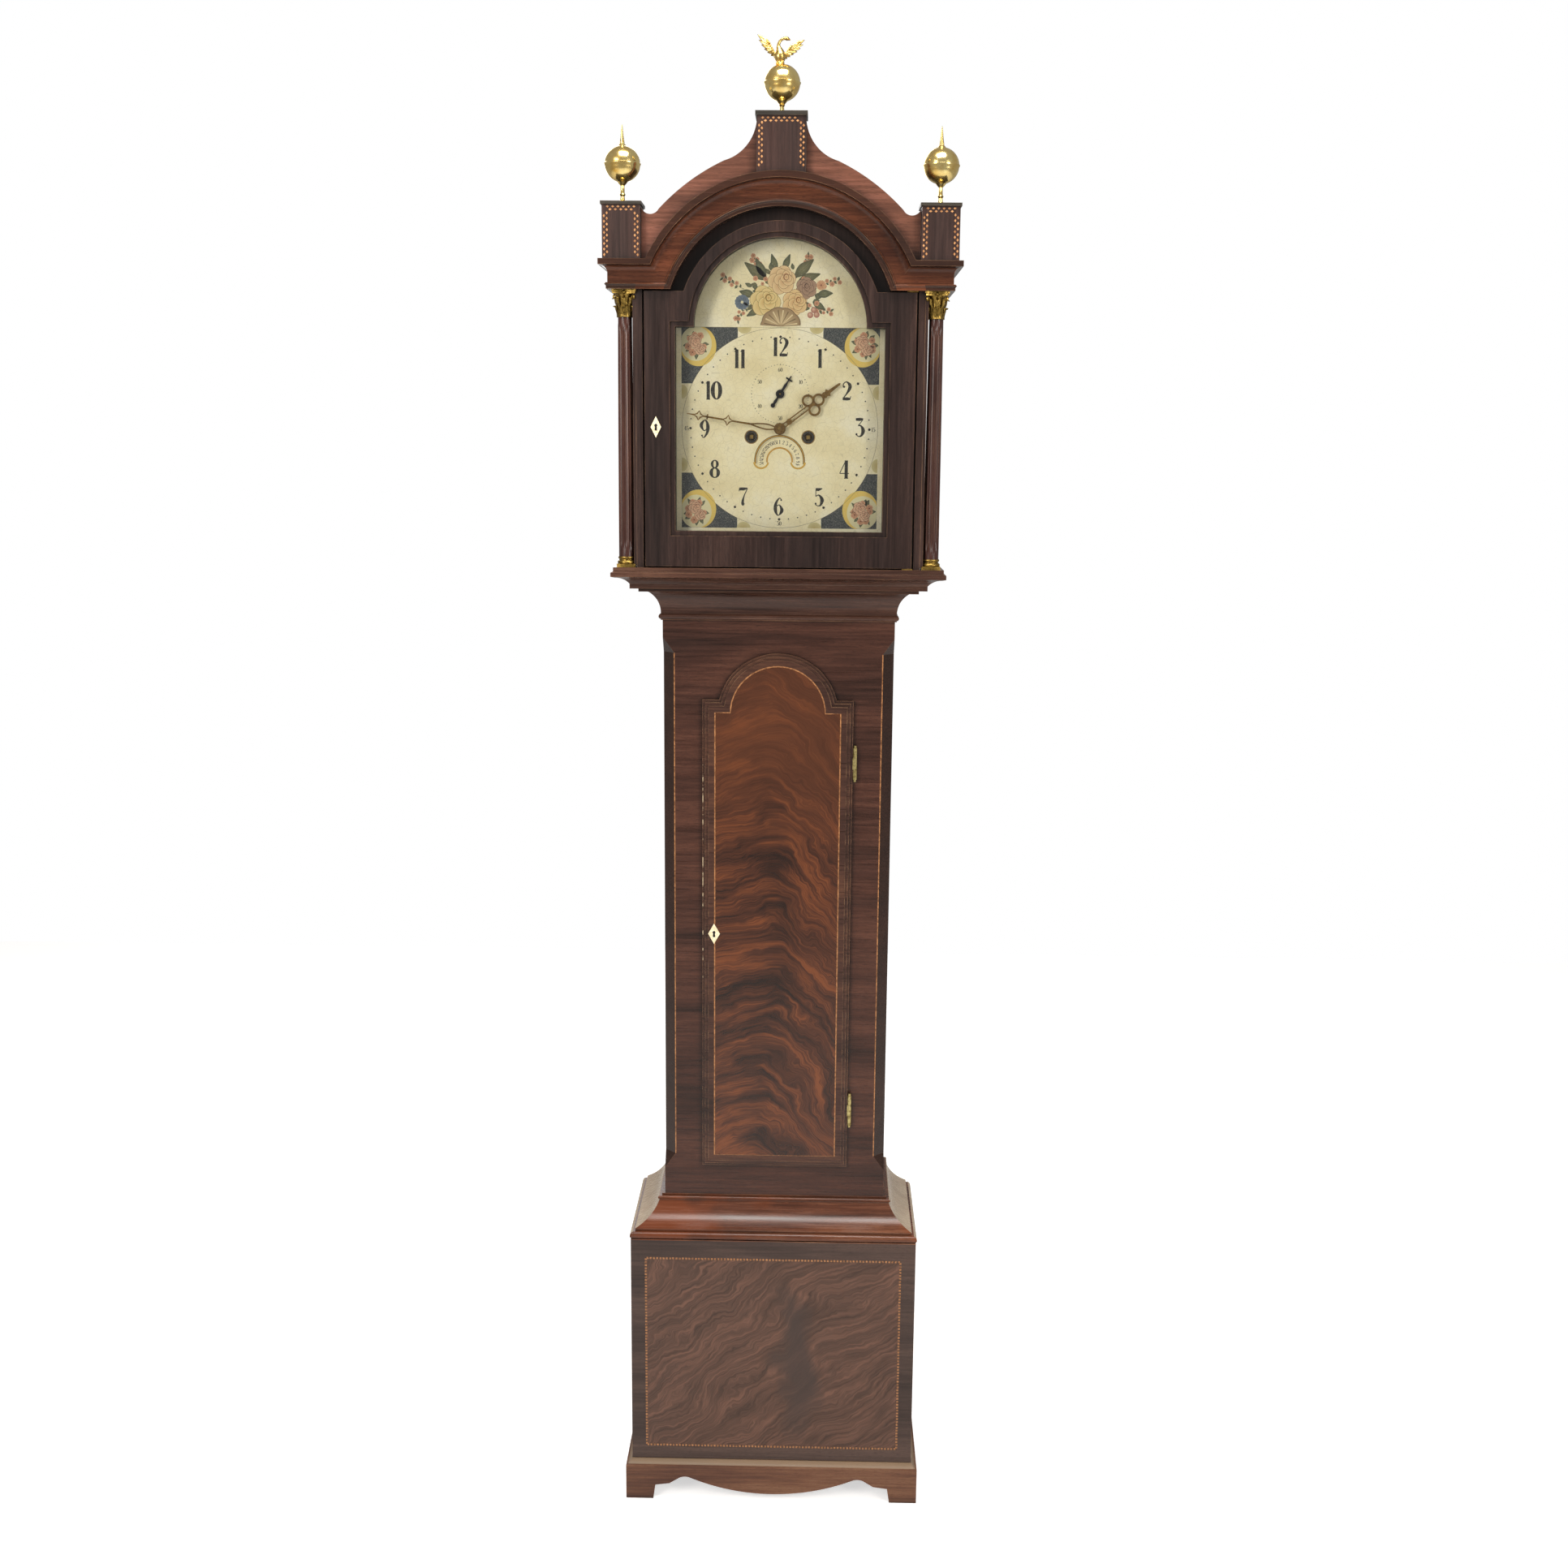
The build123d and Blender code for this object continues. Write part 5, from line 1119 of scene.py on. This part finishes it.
for sx in (-1, 1):
    for sz in (-1, 1):
        cx, cz = 117.5 * sx, dial_z + 115 * sz
        fill(flowers, kept(oval(cx, cz, 26, 28)), "#e8c968", 1)
        fill(flowers, kept(oval(cx + 3.2 * sx, cz + 3.4 * sz, 22.5, 24)), "#e4dbb2", 2)
        pick = random.Random(7 + sx + 3 * sz)
        for i in range(8):
            angle = math.tau * i / 8 + pick.uniform(-0.3, 0.3)
            leaf(flowers, *swung(cx + sx * 3, cz + sz * 3, 9, angle, 10 / 9), angle, pick.uniform(8, 12),
                 pick.uniform(2.6, 3.8), greens, 3)
        for i in range(7):
            angle = math.tau * i / 7 + pick.uniform(-0.4, 0.4)
            blossom(flowers, *swung(cx + sx * 3, cz + sz * 3, 11.5, angle, 13 / 11.5), pick.uniform(4, 5.8),
                    pinks, 6, 5, angle)
        rose(flowers, cx + sx * 2 - 3, cz + sz * 2 + 5, 9.5, ("#e0b898", "#c08062", "#84503c"), 10, 0.3)
        rose(flowers, cx + sx * 2 + 4, cz + sz * 2 - 6, 8.0, ("#e2bc9c", "#c88c6c", "#84503c"), 10, 1.2)
half_shell = [swung(0, 0, 10, math.pi * i / 12, 0.86) for i in range(13)]
for sign in (-1, 1):
    for middle in (-51.5, 51.5):
        outline = [(middle + a, dial_z + sign * (dial_half - b)) for a, b in half_shell]
        fan(flowers, (middle, dial_z + sign * dial_half), outline, "#c9b478", "#d8cc98", 1)
        outline = [(sign * (dial_half - b), dial_z + middle + a) for a, b in half_shell]
        fan(flowers, (sign * dial_half, dial_z + middle), outline, "#c9b478", "#d8cc98", 1)

# %% [markdown]
# ## The bunch of flowers in the arch
#
# The arch holds a loose bunch: a full rose at the top, two more below it, a darker one and a small
# pink flower at the right, a blue flower at the left, three small fruits, sprays that reach out left
# and right, and a ribbed buff shell at its foot. It's the plain habit of dial painters and follows
# no one picture.

# %% The bunch
rule = [(x, 1827.6, 0.5) for x in (-128, 0, 128)]
ribbon(flowers, rule, "#b9ae84", 1)
sprays = ((-52, 1880, 2.75, 34, 3), (-40, 1858, 3.6, 30, 5), (48, 1884, 0.3, 34, 8),
          (40, 1858, -0.35, 32, 11), (-26, 1906, 2.3, 22, 14), (28, 1906, 0.85, 22, 17))
for x, z, angle, long, seed in sprays:
    spray(flowers, x, z, angle, long, pinks, greens, 2, seed)
pick = random.Random(21)
for i in range(34):
    angle, reach = math.radians(pick.uniform(-20, 200)), pick.uniform(26, 50)
    leaf(flowers, *swung(0, 1866, reach, angle, 0.9), angle + pick.uniform(-0.7, 0.7), pick.uniform(8, 14),
         pick.uniform(2.6, 4.8), greens if i % 3 else olive, 6 + i % 3)
for i in range(16):
    angle, reach = math.radians(pick.uniform(-20, 200)), pick.uniform(30, 56)
    blossom(flowers, *swung(0, 1864, reach, angle, 0.85), pick.uniform(2.6, 4.2), pinks, 10, 5, i)
for x, z, angle, long, half in ((-20, 1893, 2.5, 40, 8), (-22, 1896, 2.05, 30, 6.5), (20, 1897, 0.75, 36, 8),
                                (24, 1890, 0.35, 34, 7), (-38, 1872, 2.9, 22, 6), (52, 1873, 0.1, 22, 6),
                                (4, 1906, 1.2, 24, 5), (-6, 1906, 1.9, 24, 5), (46, 1862, -0.5, 20, 5),
                                (-30, 1854, -2.6, 22, 5)):
    leaf(flowers, x, z, angle, long, half, olive if long > 30 else greens, 9)
rose(flowers, 1, 1893, 20, ("#ecd0a0", "#cc9462", "#9a6440"), 14, 0.2)
rose(flowers, -22, 1864, 22, ("#ecd69a", "#d0a054", "#94702e"), 14, 0.9)
rose(flowers, 20, 1862, 18, ("#ecd09a", "#cc8e56", "#9c6434"), 16, 0.5)
rose(flowers, 36, 1882, 15, ("#b09078", "#8a6452", "#5a3e34"), 12, 1.5)
blossom(flowers, -55, 1862, 10.5, ("#46566a", "#6e7c8e", "#e4dcb8"), 12, 7)
blossom(flowers, 57, 1886, 7, ("#c88a62", "#deb08a", "#8e4a3a"), 12, 6)
for x, z in ((42, 1845), (51, 1845.5), (47, 1852)):
    fan(flowers, (x - 1, z + 1.4), oval(x, z, 4.2, 4.2, 16), "#e6c0a6", "#a85e52", 16)
shell_foot = 1829
shell = []
for i in range(73):
    reach = 27 + 1.3 * abs(math.sin(math.radians(10.8 * i)))
    shell.append(swung(0, shell_foot, reach, math.radians(2.4 * i + 3.6), 0.92))
shadow = [(x * 1.04, shell_foot + (z - shell_foot) * 1.04) for x, z in shell]
fan(flowers, (0, shell_foot + 1), shadow + [(0, shell_foot)], "#8a7050", "#7a6248", 60)
fan(flowers, (0, shell_foot + 5), shell + [(0, shell_foot + 0.4)], "#d8bf96", "#a08460", 61)
for i in range(10):
    angle = math.radians(9 + 18 * i)
    rib = [(*swung(0, shell_foot + 0.6, reach, angle, 0.92), wide)
           for reach, wide in ((5, 0.5), (14, 1.2), (24, 1.9))]
    ribbon(flowers, rib, "#7e6648" if i % 2 else "#e6d4ac", 62)
hang_paint(flowers, "dial_flowers", oil, "case")

# %% [markdown]
# ## Minute and seconds hands
#
# Hands of this kind are sawn from sheet brass: one thin rail, opened here and there into a small
# diamond, with a long loop near the boss. They are drawn with the same ribbon as the numerals, but
# as thick as the sheet. The short seconds hand is blued steel with a cross near its tip.

# %% Sawn hands
def hand_point(pivot, degrees, u, v):
    a = math.radians(degrees)
    return pivot[0] + u * math.sin(a) + v * math.cos(a), pivot[1] + u * math.cos(a) - v * math.sin(a)


def saw_hand(name, pivot, degrees, front, thick, strokes, plates, material, body, replaced):
    """A hand of sawn sheet: its strokes and plates, laid along a pointing direction from the pivot."""
    hand = new_paint(front)
    for path, closed in strokes:
        stroke = [(*hand_point(pivot, degrees, u, v), w * 1.35) for u, v, w in path]
        ribbon(hand, stroke, "#000000", 0, closed)
    for plate in plates:
        fill(hand, [hand_point(pivot, degrees, u, v) for u, v in plate], "#000000", 0)
    # What was the front of a stroke takes the sheet's front, and what was its back the sheet's back
    depth = {round((front - first_lift) * mm, 8): front * mm}
    points = [(x, depth.get(round(y, 8), (front + thick) * mm), z) for x, y, z in hand["points"]]
    piece = from_points(name, points, [], hand["faces"])
    settle(piece, name, material, body, 20)
    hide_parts(replaced)


def diamond(u, half_long, half_wide, wide):
    """An open diamond with hollow sides."""
    corners = [(u - half_long, 0), (u, half_wide), (u + half_long, 0), (u, -half_wide)]
    path = []
    for (a, b), (c, d) in zip(corners, corners[1:] + corners[:1]):
        path += [(a, b, wide), (u + (a - u + c - u) * 0.36, (b + d) * 0.36, wide)]
    return path


minute_strokes = [(flowing([(7, 1.6, 1.5), (18, 3.6, 1.5), (30, 2.6, 1.5), (43, 0, 1.7)], 5), False),
                  (flowing([(7, -1.6, 1.5), (18, -3.6, 1.5), (30, -2.6, 1.5), (43, 0, 1.7)], 5), False),
                  ([(43, 0, 2.2), (60, 0, 1.8), (69, 0, 1.7)], False), (diamond(75.5, 7, 7.0, 1.5), True),
                  ([(82, 0, 1.7), (96, 0, 1.9), (111, 0, 1.7)], False),
                  ([(105, -4.2, 0.9), (105, 0, 2.2), (105, 4.2, 0.9)], False),
                  (diamond(117.5, 7, 6.4, 1.5), True), ([(124, 0, 1.7), (135, 0, 0.7)], False)]
boss = oval(0, 0, 6.6, 6.6, 30)
saw_hand("minute_hand_sawn", (0, dial_z), 278.8, -87.0, 1.0, minute_strokes, [boss], hand_brass,
         "minute_train", "minute_hand")
second_strokes = [([(0, 0, 3.0), (8, 0, 2.4), (14, 0, 3.0), (20, 0, 1.6), (30, 0, 1.1)], False),
                  ([(24, -5.2, 1.5), (24, 0, 2.0), (24, 5.2, 1.5)], False),
                  ([(0, 0, 2.6), (-8, 0, 2.2), (-12, 0, 3.4), (-18, 0, 2.0)], False)]
second_plates = [oval(0, 0, 6.2, 6.2, 26), oval(-19, 0, 3.2, 3.2, 16)]
saw_hand("seconds_hand_sawn", (0, seconds_z), 32.3, -79.0, 0.8, second_strokes, second_plates, blued,
         "escape_train", "seconds_hand")
print("hands done")

# %% [markdown]
# ## Figured veneers and inlaid lines
#
# The long door and the base are faced with saw-cut veneer from the crotch of the tree, where the
# grain fans out from a dark spine like a flame. A thin line of boxwood frames each panel, and a band
# of cross-grained mahogany runs outside it. The lines are let in flush, so here they lie only a few
# hundredths of a millimetre proud.

# %% Flame figure
def flame_veneer(name, dark, middle, light, spine_mm, left_fall, right_fall, strength, calm_above=None,
                 patch=None):
    """Streaks that fall away from a swaying spine, at one slope on the left and another on the right.

    Over the height calm_above the figure is quieter and redder. A patch is a dull spot, given by its
    middle and half its size in millimetres, across from the spine and up.
    """
    made, tree, place = new_material(name)
    sideways = add_node(tree, "SeparateXYZ", None, {0: place}, out="X")
    height = add_node(tree, "SeparateXYZ", None, {0: place}, out="Z")
    slow = add_node(tree, "TexNoise", None, {"Vector": place, "Scale": 9.0, "Detail": 4})
    sway = add_node(tree, "Math", minus, {0: slow, 1: 0.5})
    from_spine = add_node(tree, "Math", minus, {0: sideways, 1: spine_mm * mm})
    across = add_node(tree, "Math", times_plus, {0: sway, 1: 0.17, 2: from_spine})
    # The root of the square and a little more is a distance with a soft turn at the spine
    squared = add_node(tree, "Math", times_plus, {0: across, 1: across, 2: 0.00020})
    softened = add_node(tree, "Math", {"operation": "SQRT"}, {0: squared})
    on_left = add_node(tree, "Math", minus, {0: softened, 1: across})
    on_right = add_node(tree, "Math", plus, {0: softened, 1: across})
    fall = add_node(tree, "Math", times_plus, {0: on_left, 1: left_fall / 2, 2: height})
    fall = add_node(tree, "Math", times_plus, {0: on_right, 1: right_fall / 2, 2: fall})

    def streaks(along_fall, along_plume, detail):
        down = add_node(tree, "Math", times, {0: fall, 1: along_fall})
        out_from_spine = add_node(tree, "Math", times, {0: across, 1: along_plume})
        both = add_node(tree, "CombineXYZ", None, {0: down, 1: out_from_spine})
        return add_node(tree, "TexNoise", None,
                        {"Vector": both, "Scale": 1.0, "Detail": detail, "Distortion": 0.5})

    plumes, fine, hairs = streaks(34, 9, 3), streaks(170, 16, 3), streaks(700, 40, 2)
    figure = add_node(tree, "Math", times, {0: plumes, 1: strength})
    figure = add_node(tree, "Math", times_plus, {0: fine, 1: 0.75 - strength, 2: figure})
    figure = add_node(tree, "Math", times_plus, {0: hairs, 1: 0.25, 2: figure})
    tone = add_node(tree, "ValToRGB", None, {0: figure}, stops=[(0.37, dark), (0.5, middle), (0.62, light)])
    off_spine = add_node(tree, "Math", size_of, {0: across})
    near = add_node(tree, "ValToRGB", None, {0: off_spine}, stops=[(0.0, 1.0), (0.045, 0.0)])
    broken = add_node(tree, "ValToRGB", None, {0: plumes}, stops=[(0.38, 1.0), (0.6, 0.1)])
    heart = add_node(tree, "Math", times, {0: near, 1: broken})
    if calm_above:
        half_height = add_node(tree, "Math", times, {0: height, 1: 0.5})
        upper = add_node(tree, "ValToRGB", None, {0: half_height},
                         stops=[(calm_above / 2 - 0.03, 0.0), (calm_above / 2 + 0.05, 1.0)])
        calm = add_node(tree, "Math", times, {0: upper, 1: 0.55})
        tone = add_node(tree, "Mix", tinted, {0: calm, 6: tone, 7: colour("#532d18")}, out=2)
        lower = add_node(tree, "Math", minus, {0: 1.0, 1: upper})
        heart = add_node(tree, "Math", times, {0: heart, 1: lower})
    heart = add_node(tree, "Math", times, {0: heart, 1: 0.85})
    tone = add_node(tree, "Mix", tinted, {0: heart, 6: tone, 7: colour(dark)}, out=2)
    if patch:
        patch_x, patch_z, half_wide, half_high = [value * mm for value in patch]
        moved = add_node(tree, "CombineXYZ", None, {0: across, 1: height})
        moved = add_node(tree, "VectorMath", minus, {0: moved, 1: (patch_x, patch_z, 0)})
        moved = add_node(tree, "VectorMath", {"operation": "DIVIDE"},
                         {0: moved, 1: (half_wide, half_high, 1)})
        size = add_node(tree, "VectorMath", {"operation": "DOT_PRODUCT"}, {0: moved, 1: moved}, out="Value")
        dull = add_node(tree, "ValToRGB", None, {0: size}, stops=[(0.2, 0.75), (0.95, 0.0)])
        tone = add_node(tree, "Mix", tinted, {0: dull, 6: tone, 7: colour("#3a2c27")}, out=2)
    close_material(tree, {"Base Color": tone, "Roughness": 0.27, "Coat Weight": 0.12, "Coat Roughness": 0.12,
                          "IOR": 1.42})
    return made


def hang_veneer(paint, name, material, body):
    piece = from_points(name, paint["points"], [], paint["faces"])
    piece.data.materials.append(material)
    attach(piece, body)


def line_wood(name, pale, deep):
    return plain_finish(name, deep, pale, 4.0, {"Roughness": 0.35, "IOR": 1.45})


# Lines of the door, trunk and base: boxwood browned by old varnish
boxwood = line_wood("boxwood_line", "#a8744a", "#6e4628")
door_front, base_front, trunk_front, plinth_front = -60.0, -96.0, -50.0, -124.0
door_outline = [(-94, 569), (94, 569), (94, 1270), (71, 1270)]
door_outline += [swung(0, 1269, 71, math.pi * i / 28) for i in range(1, 28)]
door_outline += [(-71, 1270), (-94, 1270)]
door_panel = new_paint(door_front)
fill(door_panel, door_outline, "#000000", 0)
# Door panel: a red-brown plume under clear varnish
door_flame = flame_veneer("flame_mahogany_door", "#1d100b", "#462618", "#6e3c20", -4, 0.4, 1.3, 0.48, 1.1)
hang_veneer(door_panel, "trunk_door_flame", door_flame, "long_door")
door_line = new_paint(door_front)
ribbon(door_line, [(x, z, 1.8) for x, z in door_outline], "#000000", 2, True)
hang_veneer(door_line, "trunk_door_line", boxwood, "long_door")


def chips_and_lip_highlight(tree, place, tone):
    """The left edge of the door is chipped pale near the lock, and the same pale marks paint the highlight
    along its outer lip.
    """
    sideways = add_node(tree, "SeparateXYZ", None, {0: place}, out="X")
    height = add_node(tree, "SeparateXYZ", None, {0: place}, out="Z")
    edge = add_node(tree, "Math", below, {0: sideways, 1: -0.1116})
    from_lock = add_node(tree, "Math", minus, {0: height, 1: 1.02})
    from_lock = add_node(tree, "Math", size_of, {0: from_lock})
    handled = add_node(tree, "Math", below, {0: from_lock, 1: 0.17})
    moved = add_node(tree, "Mapping", None, {"Vector": place, "Scale": (1, 1, 64)})
    chips = add_node(tree, "TexNoise", None, {"Vector": moved, "Scale": 1.0, "Detail": 4})
    chips_and_highlight = add_node(tree, "ValToRGB", None, {0: chips}, stops=[(0.52, 0.0), (0.58, 0.75)])
    chips_and_highlight = add_node(tree, "Math", times, {0: chips_and_highlight, 1: edge})
    chips_and_highlight = add_node(tree, "Math", times, {0: chips_and_highlight, 1: handled})
    return add_node(tree, "Mix", tinted, {0: chips_and_highlight, 6: tone, 7: colour("#c8b494")}, out=2)


# Band round the door's panel: cross-grained and worn, its pale edges also a painted highlight, with chips
# near the lock that also paint the lip's highlight
band_wood = mahogany("waxed_mahogany_door_band", "#281812", "#402820", "#5a3a2a", "X", 0.3, 0.9, chips_and_lip_highlight)
finish("trunk_door", band_wood)

# %% Lines of the trunk and the base
stop_line = new_paint(trunk_front)
stop_foot, stop_head, stop_wide = 566, 1358, 1.6
for x in (-155.5, 155.5):
    ribbon(stop_line, [(x, stop_foot, stop_wide), (x, stop_head, stop_wide)], "#000000", 0)
hang_veneer(stop_line, "trunk_chamfer_line", boxwood, "case")
base_outline = [(-199.5, 89), (199.5, 89), (199.5, 410), (-199.5, 410)]
base_panel = new_paint(base_front)
fill(base_panel, base_outline, "#000000", 0)
# Base panel: the same figure, faded and greyer
base_flame = flame_veneer("flame_mahogany_base", "#382419", "#4f3529", "#674637", 34, 0.9, -0.6, 0.26,
                          patch=(0, 235, 42, 150))
hang_veneer(base_panel, "base_flame", base_flame, "case")
feather = new_paint(base_front)
dash_pitch, dash_long, dash_wide = 5.0, 3.0, 3.2
corners = base_outline + base_outline[:1]
for (xa, za), (xb, zb) in zip(corners, corners[1:]):
    length = math.hypot(xb - xa, zb - za)
    count = int(length / dash_pitch)
    ux, uz = (xb - xa) / length, (zb - za) / length
    for i in range(count):
        start = (i + 0.15) * length / count
        path = [(xa + ux * far, za + uz * far, dash_wide) for far in (start, start + dash_long)]
        ribbon(feather, path, "#000000", 3)
hang_veneer(feather, "base_feather_line", boxwood, "case")
dark_line = new_paint(base_front)
ribbon(dark_line, [(x, z, 4.6) for x, z in base_outline], "#000000", 1, True)
# The line under the dashes: wood stained black and faded to brown
ebonised = line_wood("ebonised_line", "#4a3226", "#2e1e18")
hang_veneer(dark_line, "base_dark_line", ebonised, "case")

# %% Chequered bands on the plinths
chequer = new_paint(plinth_front)
pitch, row_step, edge_gap = 7.4, 3.9, 3.2
for x, half, low, high in ((-finial_x, 26.5, 1916, 1988.4), (finial_x, 26.5, 1916, 1988.4),
                           (0, 33.75, 2036, 2106)):
    rows = int((high - low - 8) / pitch)
    for side in (-1, 1):
        for i in range(rows):
            for k in range(2):
                cx = x + side * (half - edge_gap - row_step * k)
                cz = low + 5 + pitch * (i + 0.5 * k)
                fill(chequer, [(cx - 1.6, cz), (cx, cz - 2.2), (cx + 1.6, cz), (cx, cz + 2.2)], "#000000", 1)
    for i in range(int((2 * half - 16) / pitch) + 1):
        for k in range(2):
            cx = x - half + 8 + pitch * (i + 0.5 * k)
            cz = high - edge_gap - row_step * k
            if cx < x + half - 7:
                fill(chequer, [(cx - 2.2, cz), (cx, cz - 1.6), (cx + 2.2, cz), (cx, cz + 1.6)], "#000000", 1)
# Chequers: satinwood gone the colour of honey
satinwood = line_wood("satinwood_chequer", "#c4905f", "#8e5c36")
hang_veneer(chequer, "plinth_chequer", satinwood, "hood")

# %% Strips beside the columns
strip_x, strip_y, strip_z = 206.1, -93, 1683
for side, x in (("left", -strip_x), ("right", strip_x)):
    clear_selection()
    bpy.ops.mesh.primitive_cube_add(size=1, location=(x * mm, strip_y * mm, strip_z * mm))
    strip = bpy.context.object
    strip.scale = (4.2 * mm, 26 * mm, 385 * mm)
    settle(strip, f"hood_post_edge_{side}", hood_wood, "hood")
print("veneers and lines done")

# %% [markdown]
# ## Gut lines to the weights
#
# Each weight hangs in a loop of twisted gut that comes down from the barrel, goes under a pulley and
# returns to a knot on the seatboard. When a weight is wound up the loop must shorten. The loop is a
# piece of its own, and the short straight end above the seatboard is another.

# %% Loops and ends
barrel_radius, pulley_height, seat_top = 24.0, 375.0, 1624.0
line_plane = 4.0


def gut_tube(name, path, radius=1.0, around=8):
    """A round line along a path of (x, z) points in one upright plane."""
    points = []
    for i, (x, z) in enumerate(path):
        ahead, behind = path[min(i + 1, len(path) - 1)], path[max(i - 1, 0)]
        dx, dz = ahead[0] - behind[0], ahead[1] - behind[1]
        size = math.hypot(dx, dz)
        for k in range(around):
            a = math.tau * k / around
            out = radius * math.cos(a)
            depth = line_plane + radius * math.sin(a)
            points.append(((x - dz / size * out) * mm, depth * mm, (z + dx / size * out) * mm))
    tube = from_points(name, points, [], tube_faces(len(path) - 1, around))
    bpy.ops.object.mode_set(mode="EDIT")
    bpy.ops.mesh.select_all(action="SELECT")
    bpy.ops.mesh.normals_make_consistent(inside=False)
    bpy.ops.object.mode_set(mode="OBJECT")
    return settle(tube, name, gut, "case", 60)


for side, middle in (("going", winding_x), ("strike", -winding_x)):
    falling, standing = middle - barrel_radius, middle + barrel_radius
    down = [(falling, seat_top + (pulley_height - seat_top) * i / 12) for i in range(13)]
    under = [swung(middle, pulley_height, -barrel_radius, math.pi * i / 14) for i in range(1, 14)]
    up = [(standing, pulley_height + (seat_top - pulley_height) * i / 12) for i in range(13)]
    loop = gut_tube(f"{side}_line_loop", down + under + up)
    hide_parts(f"{side}_line")
    low = pulley_height - barrel_radius
    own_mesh(loop)
    gut_tube(f"{side}_line_end", [(falling, seat_top), (falling, winding_z)])
    knot_profile = [(0, seat_top), (3.2, seat_top), (3.6, seat_top + 2), (2.4, seat_top + 5),
                    (0, seat_top + 6.2)]
    knot = turn_profile(f"{side}_line_knot", knot_profile, standing, line_plane, 12)
    settle(knot, f"{side}_line_knot", gut, "case")

# %% Keyholes
# The unlit inside of a lock
dark_hole = plain_finish("dark_keyhole", "#080605", "#100c0a", 2.0, {"Roughness": 0.8})
for name, x, z, front, body in (("hood_keyhole", -175.5, 1687, -111.2, "hood_door"),
                                ("trunk_keyhole", -95, 928, -61.2, "long_door")):
    shape = [swung(x, z + 2.2, 2.3, math.radians(a)) for a in range(-50, 231, 20)]
    shape += [(x - 1.9, z - 5.2), (x + 1.9, z - 5.2)]
    hole = new_paint(front)
    fill(hole, shape, "#000000", 0)
    hang = from_points(name, hole["points"], [], hole["faces"])
    hang.data.materials.append(dark_hole)
    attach(hang, body)
print("lines and keyholes done")

# %% [markdown]
# ## Floor, light and camera
#
# The clock stands on a plain pale floor in front of a white backdrop. Large soft lamps light it from
# above and from both sides at a plain level, so that a colour renders about as it is written. The
# camera is where the photograph was taken from: level with the dial, 2.6 m away, looking down by
# eleven degrees.

# %% Floor and backdrop
def pale_floor():
    """Seen straight, the floor is white but for the shadow; as a light source it's a pale grey."""
    made = bpy.data.materials.new("pale_floor")
    tree = empty_tree(made)
    matt = add_node(tree, "BsdfDiffuse", None, {"Color": (0.8, 0.8, 0.8, 1)})
    white = add_node(tree, "Emission", None, {"Color": (1, 1, 1, 1), "Strength": 0.58})
    seen = add_node(tree, "AddShader", None, {0: matt, 1: white})
    straight = add_node(tree, "LightPath", out="Is Camera Ray")
    both = add_node(tree, "MixShader", None, {0: straight, 1: matt, 2: seen})
    add_node(tree, "OutputMaterial", None, {"Surface": both})
    return made


def room_light():
    """Warm dim light on the clock, and plain white wherever the camera sees past it."""
    world = bpy.data.worlds.new("soft_room")
    bpy.context.scene.world = world
    tree = empty_tree(world)
    room = add_node(tree, "Background", None, {"Color": (1.0, 0.97, 0.93, 1), "Strength": 0.36})
    white = add_node(tree, "Background", None, {"Color": (1, 1, 1, 1), "Strength": 1.0})
    straight = add_node(tree, "LightPath", out="Is Camera Ray")
    through_glass = add_node(tree, "LightPath", out="Is Transmission Ray")
    seen = add_node(tree, "Math", most, {0: straight, 1: through_glass})
    both = add_node(tree, "MixShader", None, {0: seen, 1: room, 2: white})
    add_node(tree, "OutputWorld", None, {"Surface": both})


clear_selection()
bpy.ops.mesh.primitive_plane_add(size=6, location=(0, 0, -0.0004))
floor = bpy.context.object
floor.name = "floor"
floor.data.materials.append(pale_floor())
room_light()


# %% Lamps
def soft_lamp(name, place, target, size, power, tint=(1, 1, 1)):
    data = bpy.data.lights.new(name, "AREA")
    data.shape = "RECTANGLE"
    data.size, data.size_y = size
    data.energy = power
    data.color = tint
    lamp = bpy.data.objects.new(name, data)
    bpy.context.scene.collection.objects.link(lamp)
    lamp.location = place
    lamp.rotation_euler = (Vector(target) - Vector(place)).to_track_quat("-Z", "Y").to_euler()


soft_lamp("front_left_soft", (-1.9, -2.6, 2.5), (0, 0, 1.1), (1.0, 1.8), 66, (1.0, 0.96, 0.90))
soft_lamp("front_right_soft", (2.2, -2.3, 2.2), (0, 0, 1.1), (1.0, 1.8), 52, (1.0, 0.97, 0.92))
soft_lamp("overhead_soft", (0.1, -0.9, 3.6), (0, -0.05, 1.2), (1.4, 0.9), 60, (1.0, 0.97, 0.93))
soft_lamp("back_soft", (-0.8, 2.4, 2.6), (0, 0.1, 1.2), (1.6, 2.0), 30)

# %% Camera
focal_px, photo_px = 2150.07, 1932.0
place = Matrix.Translation((0.0586, -2.6383, 1.6588))
turned_left = Matrix.Rotation(math.radians(1.076), 4, "Z")
tilted = Matrix.Rotation(math.radians(90 - 10.891), 4, "X")
rolled = Matrix.Rotation(math.radians(0.499), 4, "Z")
data = bpy.data.cameras.new("photo_camera")
data.sensor_width = 36.0
data.lens = focal_px * data.sensor_width / photo_px
data.dof.use_dof = False
camera = bpy.data.objects.new("photo_camera", data)
bpy.context.scene.collection.objects.link(camera)
camera.matrix_world = place @ turned_left @ tilted @ rolled
bpy.context.scene.camera = camera
bpy.context.scene.view_settings.view_transform = "Standard"

print("pieces done")
